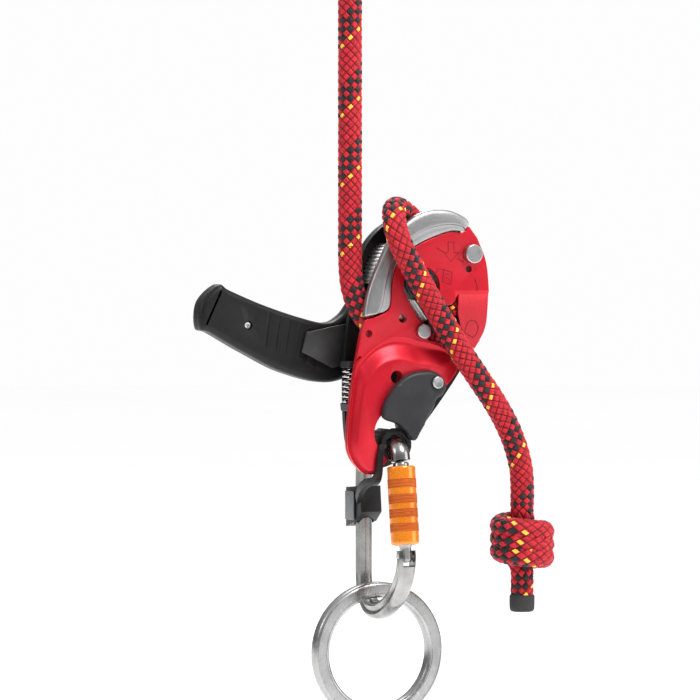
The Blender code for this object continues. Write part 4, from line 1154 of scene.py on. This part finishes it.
def carabiner_gate():
    """The gate's rod, its hinge rivet and the collar that the sleeve turns on."""
    top, along, length = gate_axis()
    rod = [(0.02, 0.0), (3.2, 0.0), (3.7, 0.15), (4.2, 0.55), (4.4, 1.0), (4.4, length - 7.2),
           (4.2, length - 6.6), (3.4, length - 5.2), (3.2, length - 4.4), (3.2, length + 1.5),
           (3.0, length + 2.4), (2.4, length + 3.2), (0.02, length + 3.5)]
    gate = turned("gate_rod", top, along, rod, MATS["aluminium"], sides=48)
    boolean(gate, hinge_bore())
    place(bake(gate), "carabiner_gate", "carabiner_gate")
    rivet = [(0.02, -5.4), (1.1, -5.4), (1.4, -5.1), (1.4, 5.1), (1.1, 5.4), (0.02, 5.4)]
    pin = turned("hinge_rivet", (CARABINER_X, *GATE_HINGE), (1, 0, 0), rivet, MATS["steel"], sides=32)
    place(pin, "carabiner", "gate_hinge_pin")
    tube = [(4.7, 4.8), (4.9, 4.6), (5.4, 4.6), (5.6, 4.8), (5.6, 43.8), (5.4, 44.0), (4.9, 44.0),
            (4.7, 43.8)]
    collar = turned("collar_tube", top, along, tube, MATS["steel"], sides=48, hollow=True)
    place(collar, "collar", "sleeve_collar")


def lock_sleeve():
    """The orange sleeve with its four finely knurled bands."""
    top, along, _ = gate_axis()
    profile = [(5.9, 2.6), (6.1, 2.4), (7.1, 2.4), (7.6, 2.9), (7.78, 3.6)]
    profile += [(7.78, 3.6 + 0.3 * step) for step in range(1, 136)]
    profile += [(7.6, 44.9), (7.1, 45.5), (6.1, 45.6), (5.9, 45.4)]

    def knurl(angle, distance, radius):
        for start, end in KNURLED:
            if start <= distance <= end and radius > 7.7:
                inside = smooth(min(distance - start, end - distance) / 0.6)
                column = angle * KNURL_STARTS / 2 / math.pi
                a, b = (column + distance / 0.72) % 1.0, (column - distance / 0.72) % 1.0
                return inside * (0.12 - 0.40 * max(1 - abs(a - 0.5) * 5, 1 - abs(b - 0.5) * 5, 0.0))
        return 0.0

    sleeve = turned("lock_sleeve_knurled", top, along, profile, [MATS["orange"], MATS["orange_knurl"]],
                    sides=240, hollow=True, wave=knurl, sharp=60.0)
    for face in sleeve.data.polygons:
        distance = (face.center / MM - top).dot(along)
        face.material_index = int(any(start + 0.3 < distance < end - 0.3 for start, end in KNURLED)
                                  and (face.center / MM - top - along * distance).length > 7.0)
    return place(sleeve, "sleeve", "lock_sleeve")


def positioning_bush():
    """The fluted rubber bush that centres the carabiner in the plates' hole."""
    def flutes(angle, _, radius):
        return 0.35 * math.cos(14 * angle) if radius > 8.0 else 0.0

    edge = [(5.7, -6.7), (5.9, -6.9), (7.4, -6.9), (7.85, -6.4), (8.15, -5.6)]
    wall = [(8.15, -5.6 + 0.7 * s) for s in range(1, 16)]
    profile = edge + wall + [(radius, -along) for radius, along in reversed(edge)]
    bush = turned_on_y("fluted_bush", CARABINER_X, BAR_Z, profile, MATS["rubber"], 112, hollow=True,
                       wave=flutes)
    return place(bush, "carabiner", "positioning_bush")


def refined(name, node, mat, width, body):
    """A copy of a CAD piece with its split edges joined and then rounded."""
    obj = frame["nodes"][node].copy()
    obj.data = obj.data.copy()
    obj.name = name
    obj.hide_render = False
    obj.parent = None
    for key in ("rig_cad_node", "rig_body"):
        if key in obj:
            del obj[key]
    bpy.context.scene.collection.objects.link(obj)
    bm = bmesh.new()
    bm.from_mesh(obj.data)
    bmesh.ops.remove_doubles(bm, verts=bm.verts, dist=0.00002)
    bmesh.ops.dissolve_limit(bm, angle_limit=math.radians(1.0), verts=bm.verts, edges=bm.edges)
    bm.to_mesh(obj.data)
    bm.free()
    obj.data.materials.clear()
    obj.data.materials.append(mat)
    obj.data.shade_smooth()
    obj.data.set_sharp_from_angle(angle=math.radians(35))
    round_edges(obj, width, 3, 35.0)
    return place(bake(obj), body, node)


def ring():
    """A flat forged ring: an outer rim line, a satin face and two fine grooves by the bore."""
    half = (RING_RADIUS - RING_BORE) / 2
    section = [(half, -2.4), (half, 2.4), (half - 0.25, 3.1), (half - 0.9, 3.75), (half - 1.3, 3.95),
               (half - 1.5, 3.78), (half - 1.7, 3.95), (0.6, 4.0), (-half + 2.5, 4.0), (-half + 2.3, 3.75),
               (-half + 2.05, 3.75), (-half + 1.9, 3.95), (-half + 1.3, 3.85), (-half + 0.6, 3.4),
               (-half + 0.15, 2.7), (-half, 2.0)]
    section += [(radial, -along) for radial, along in reversed(section[2:])]
    middle = (RING_RADIUS + RING_BORE) / 2
    piece = turned("ring_forging", RING_CENTRE, (0, 1, 0), [(middle + r, a) for r, a in section],
                   MATS["ring_metal"], sides=200, hollow=True, sharp=28.0)
    return place(piece, "ring", "attachment_ring")


# Materials for the CAD pieces that keep their shape

NODE_MATERIALS = {
    "steel": ["plate_spacer", "friction_block", "friction_block_pin_1", "friction_block_pin_2", "cam_axle",
              "catch_pin", "cam", "cam_lever", "anti_error_catch"],
    "bronze": ["cam_bush"],
    "charcoal": ["spring_holder", "spring_seat", "cam_lever_tip"],
}


def finish_nodes():
    """Give the CAD pieces that stay visible their materials."""
    for key, names in NODE_MATERIALS.items():
        for name in names:
            obj = frame["nodes"][name]
            if not obj.material_slots:
                obj.data.materials.append(MATS[key])
            for slot in obj.material_slots:
                slot.material = MATS[key]


def main():
    for build in (camera, stage, rope, hinged_plate, hood, plate_marks, rope_rim, pins, safety_gate, springs,
                  axle, guide_insert, fixed_plate, rear_cover, handle, carabiner_body, carabiner_gate,
                  lock_sleeve, positioning_bush, ring):
        build()
    refined("clip_and_arm", "positioning_bar", MATS["black"], 0.7, "carabiner")
    refined("clip_badge", "positioning_badge", MATS["grey"], 0.35, "carabiner")
    refined("crank", "handle_crank", MATS["dark_metal"], 0.3, "handle")
    finish_nodes()


main()
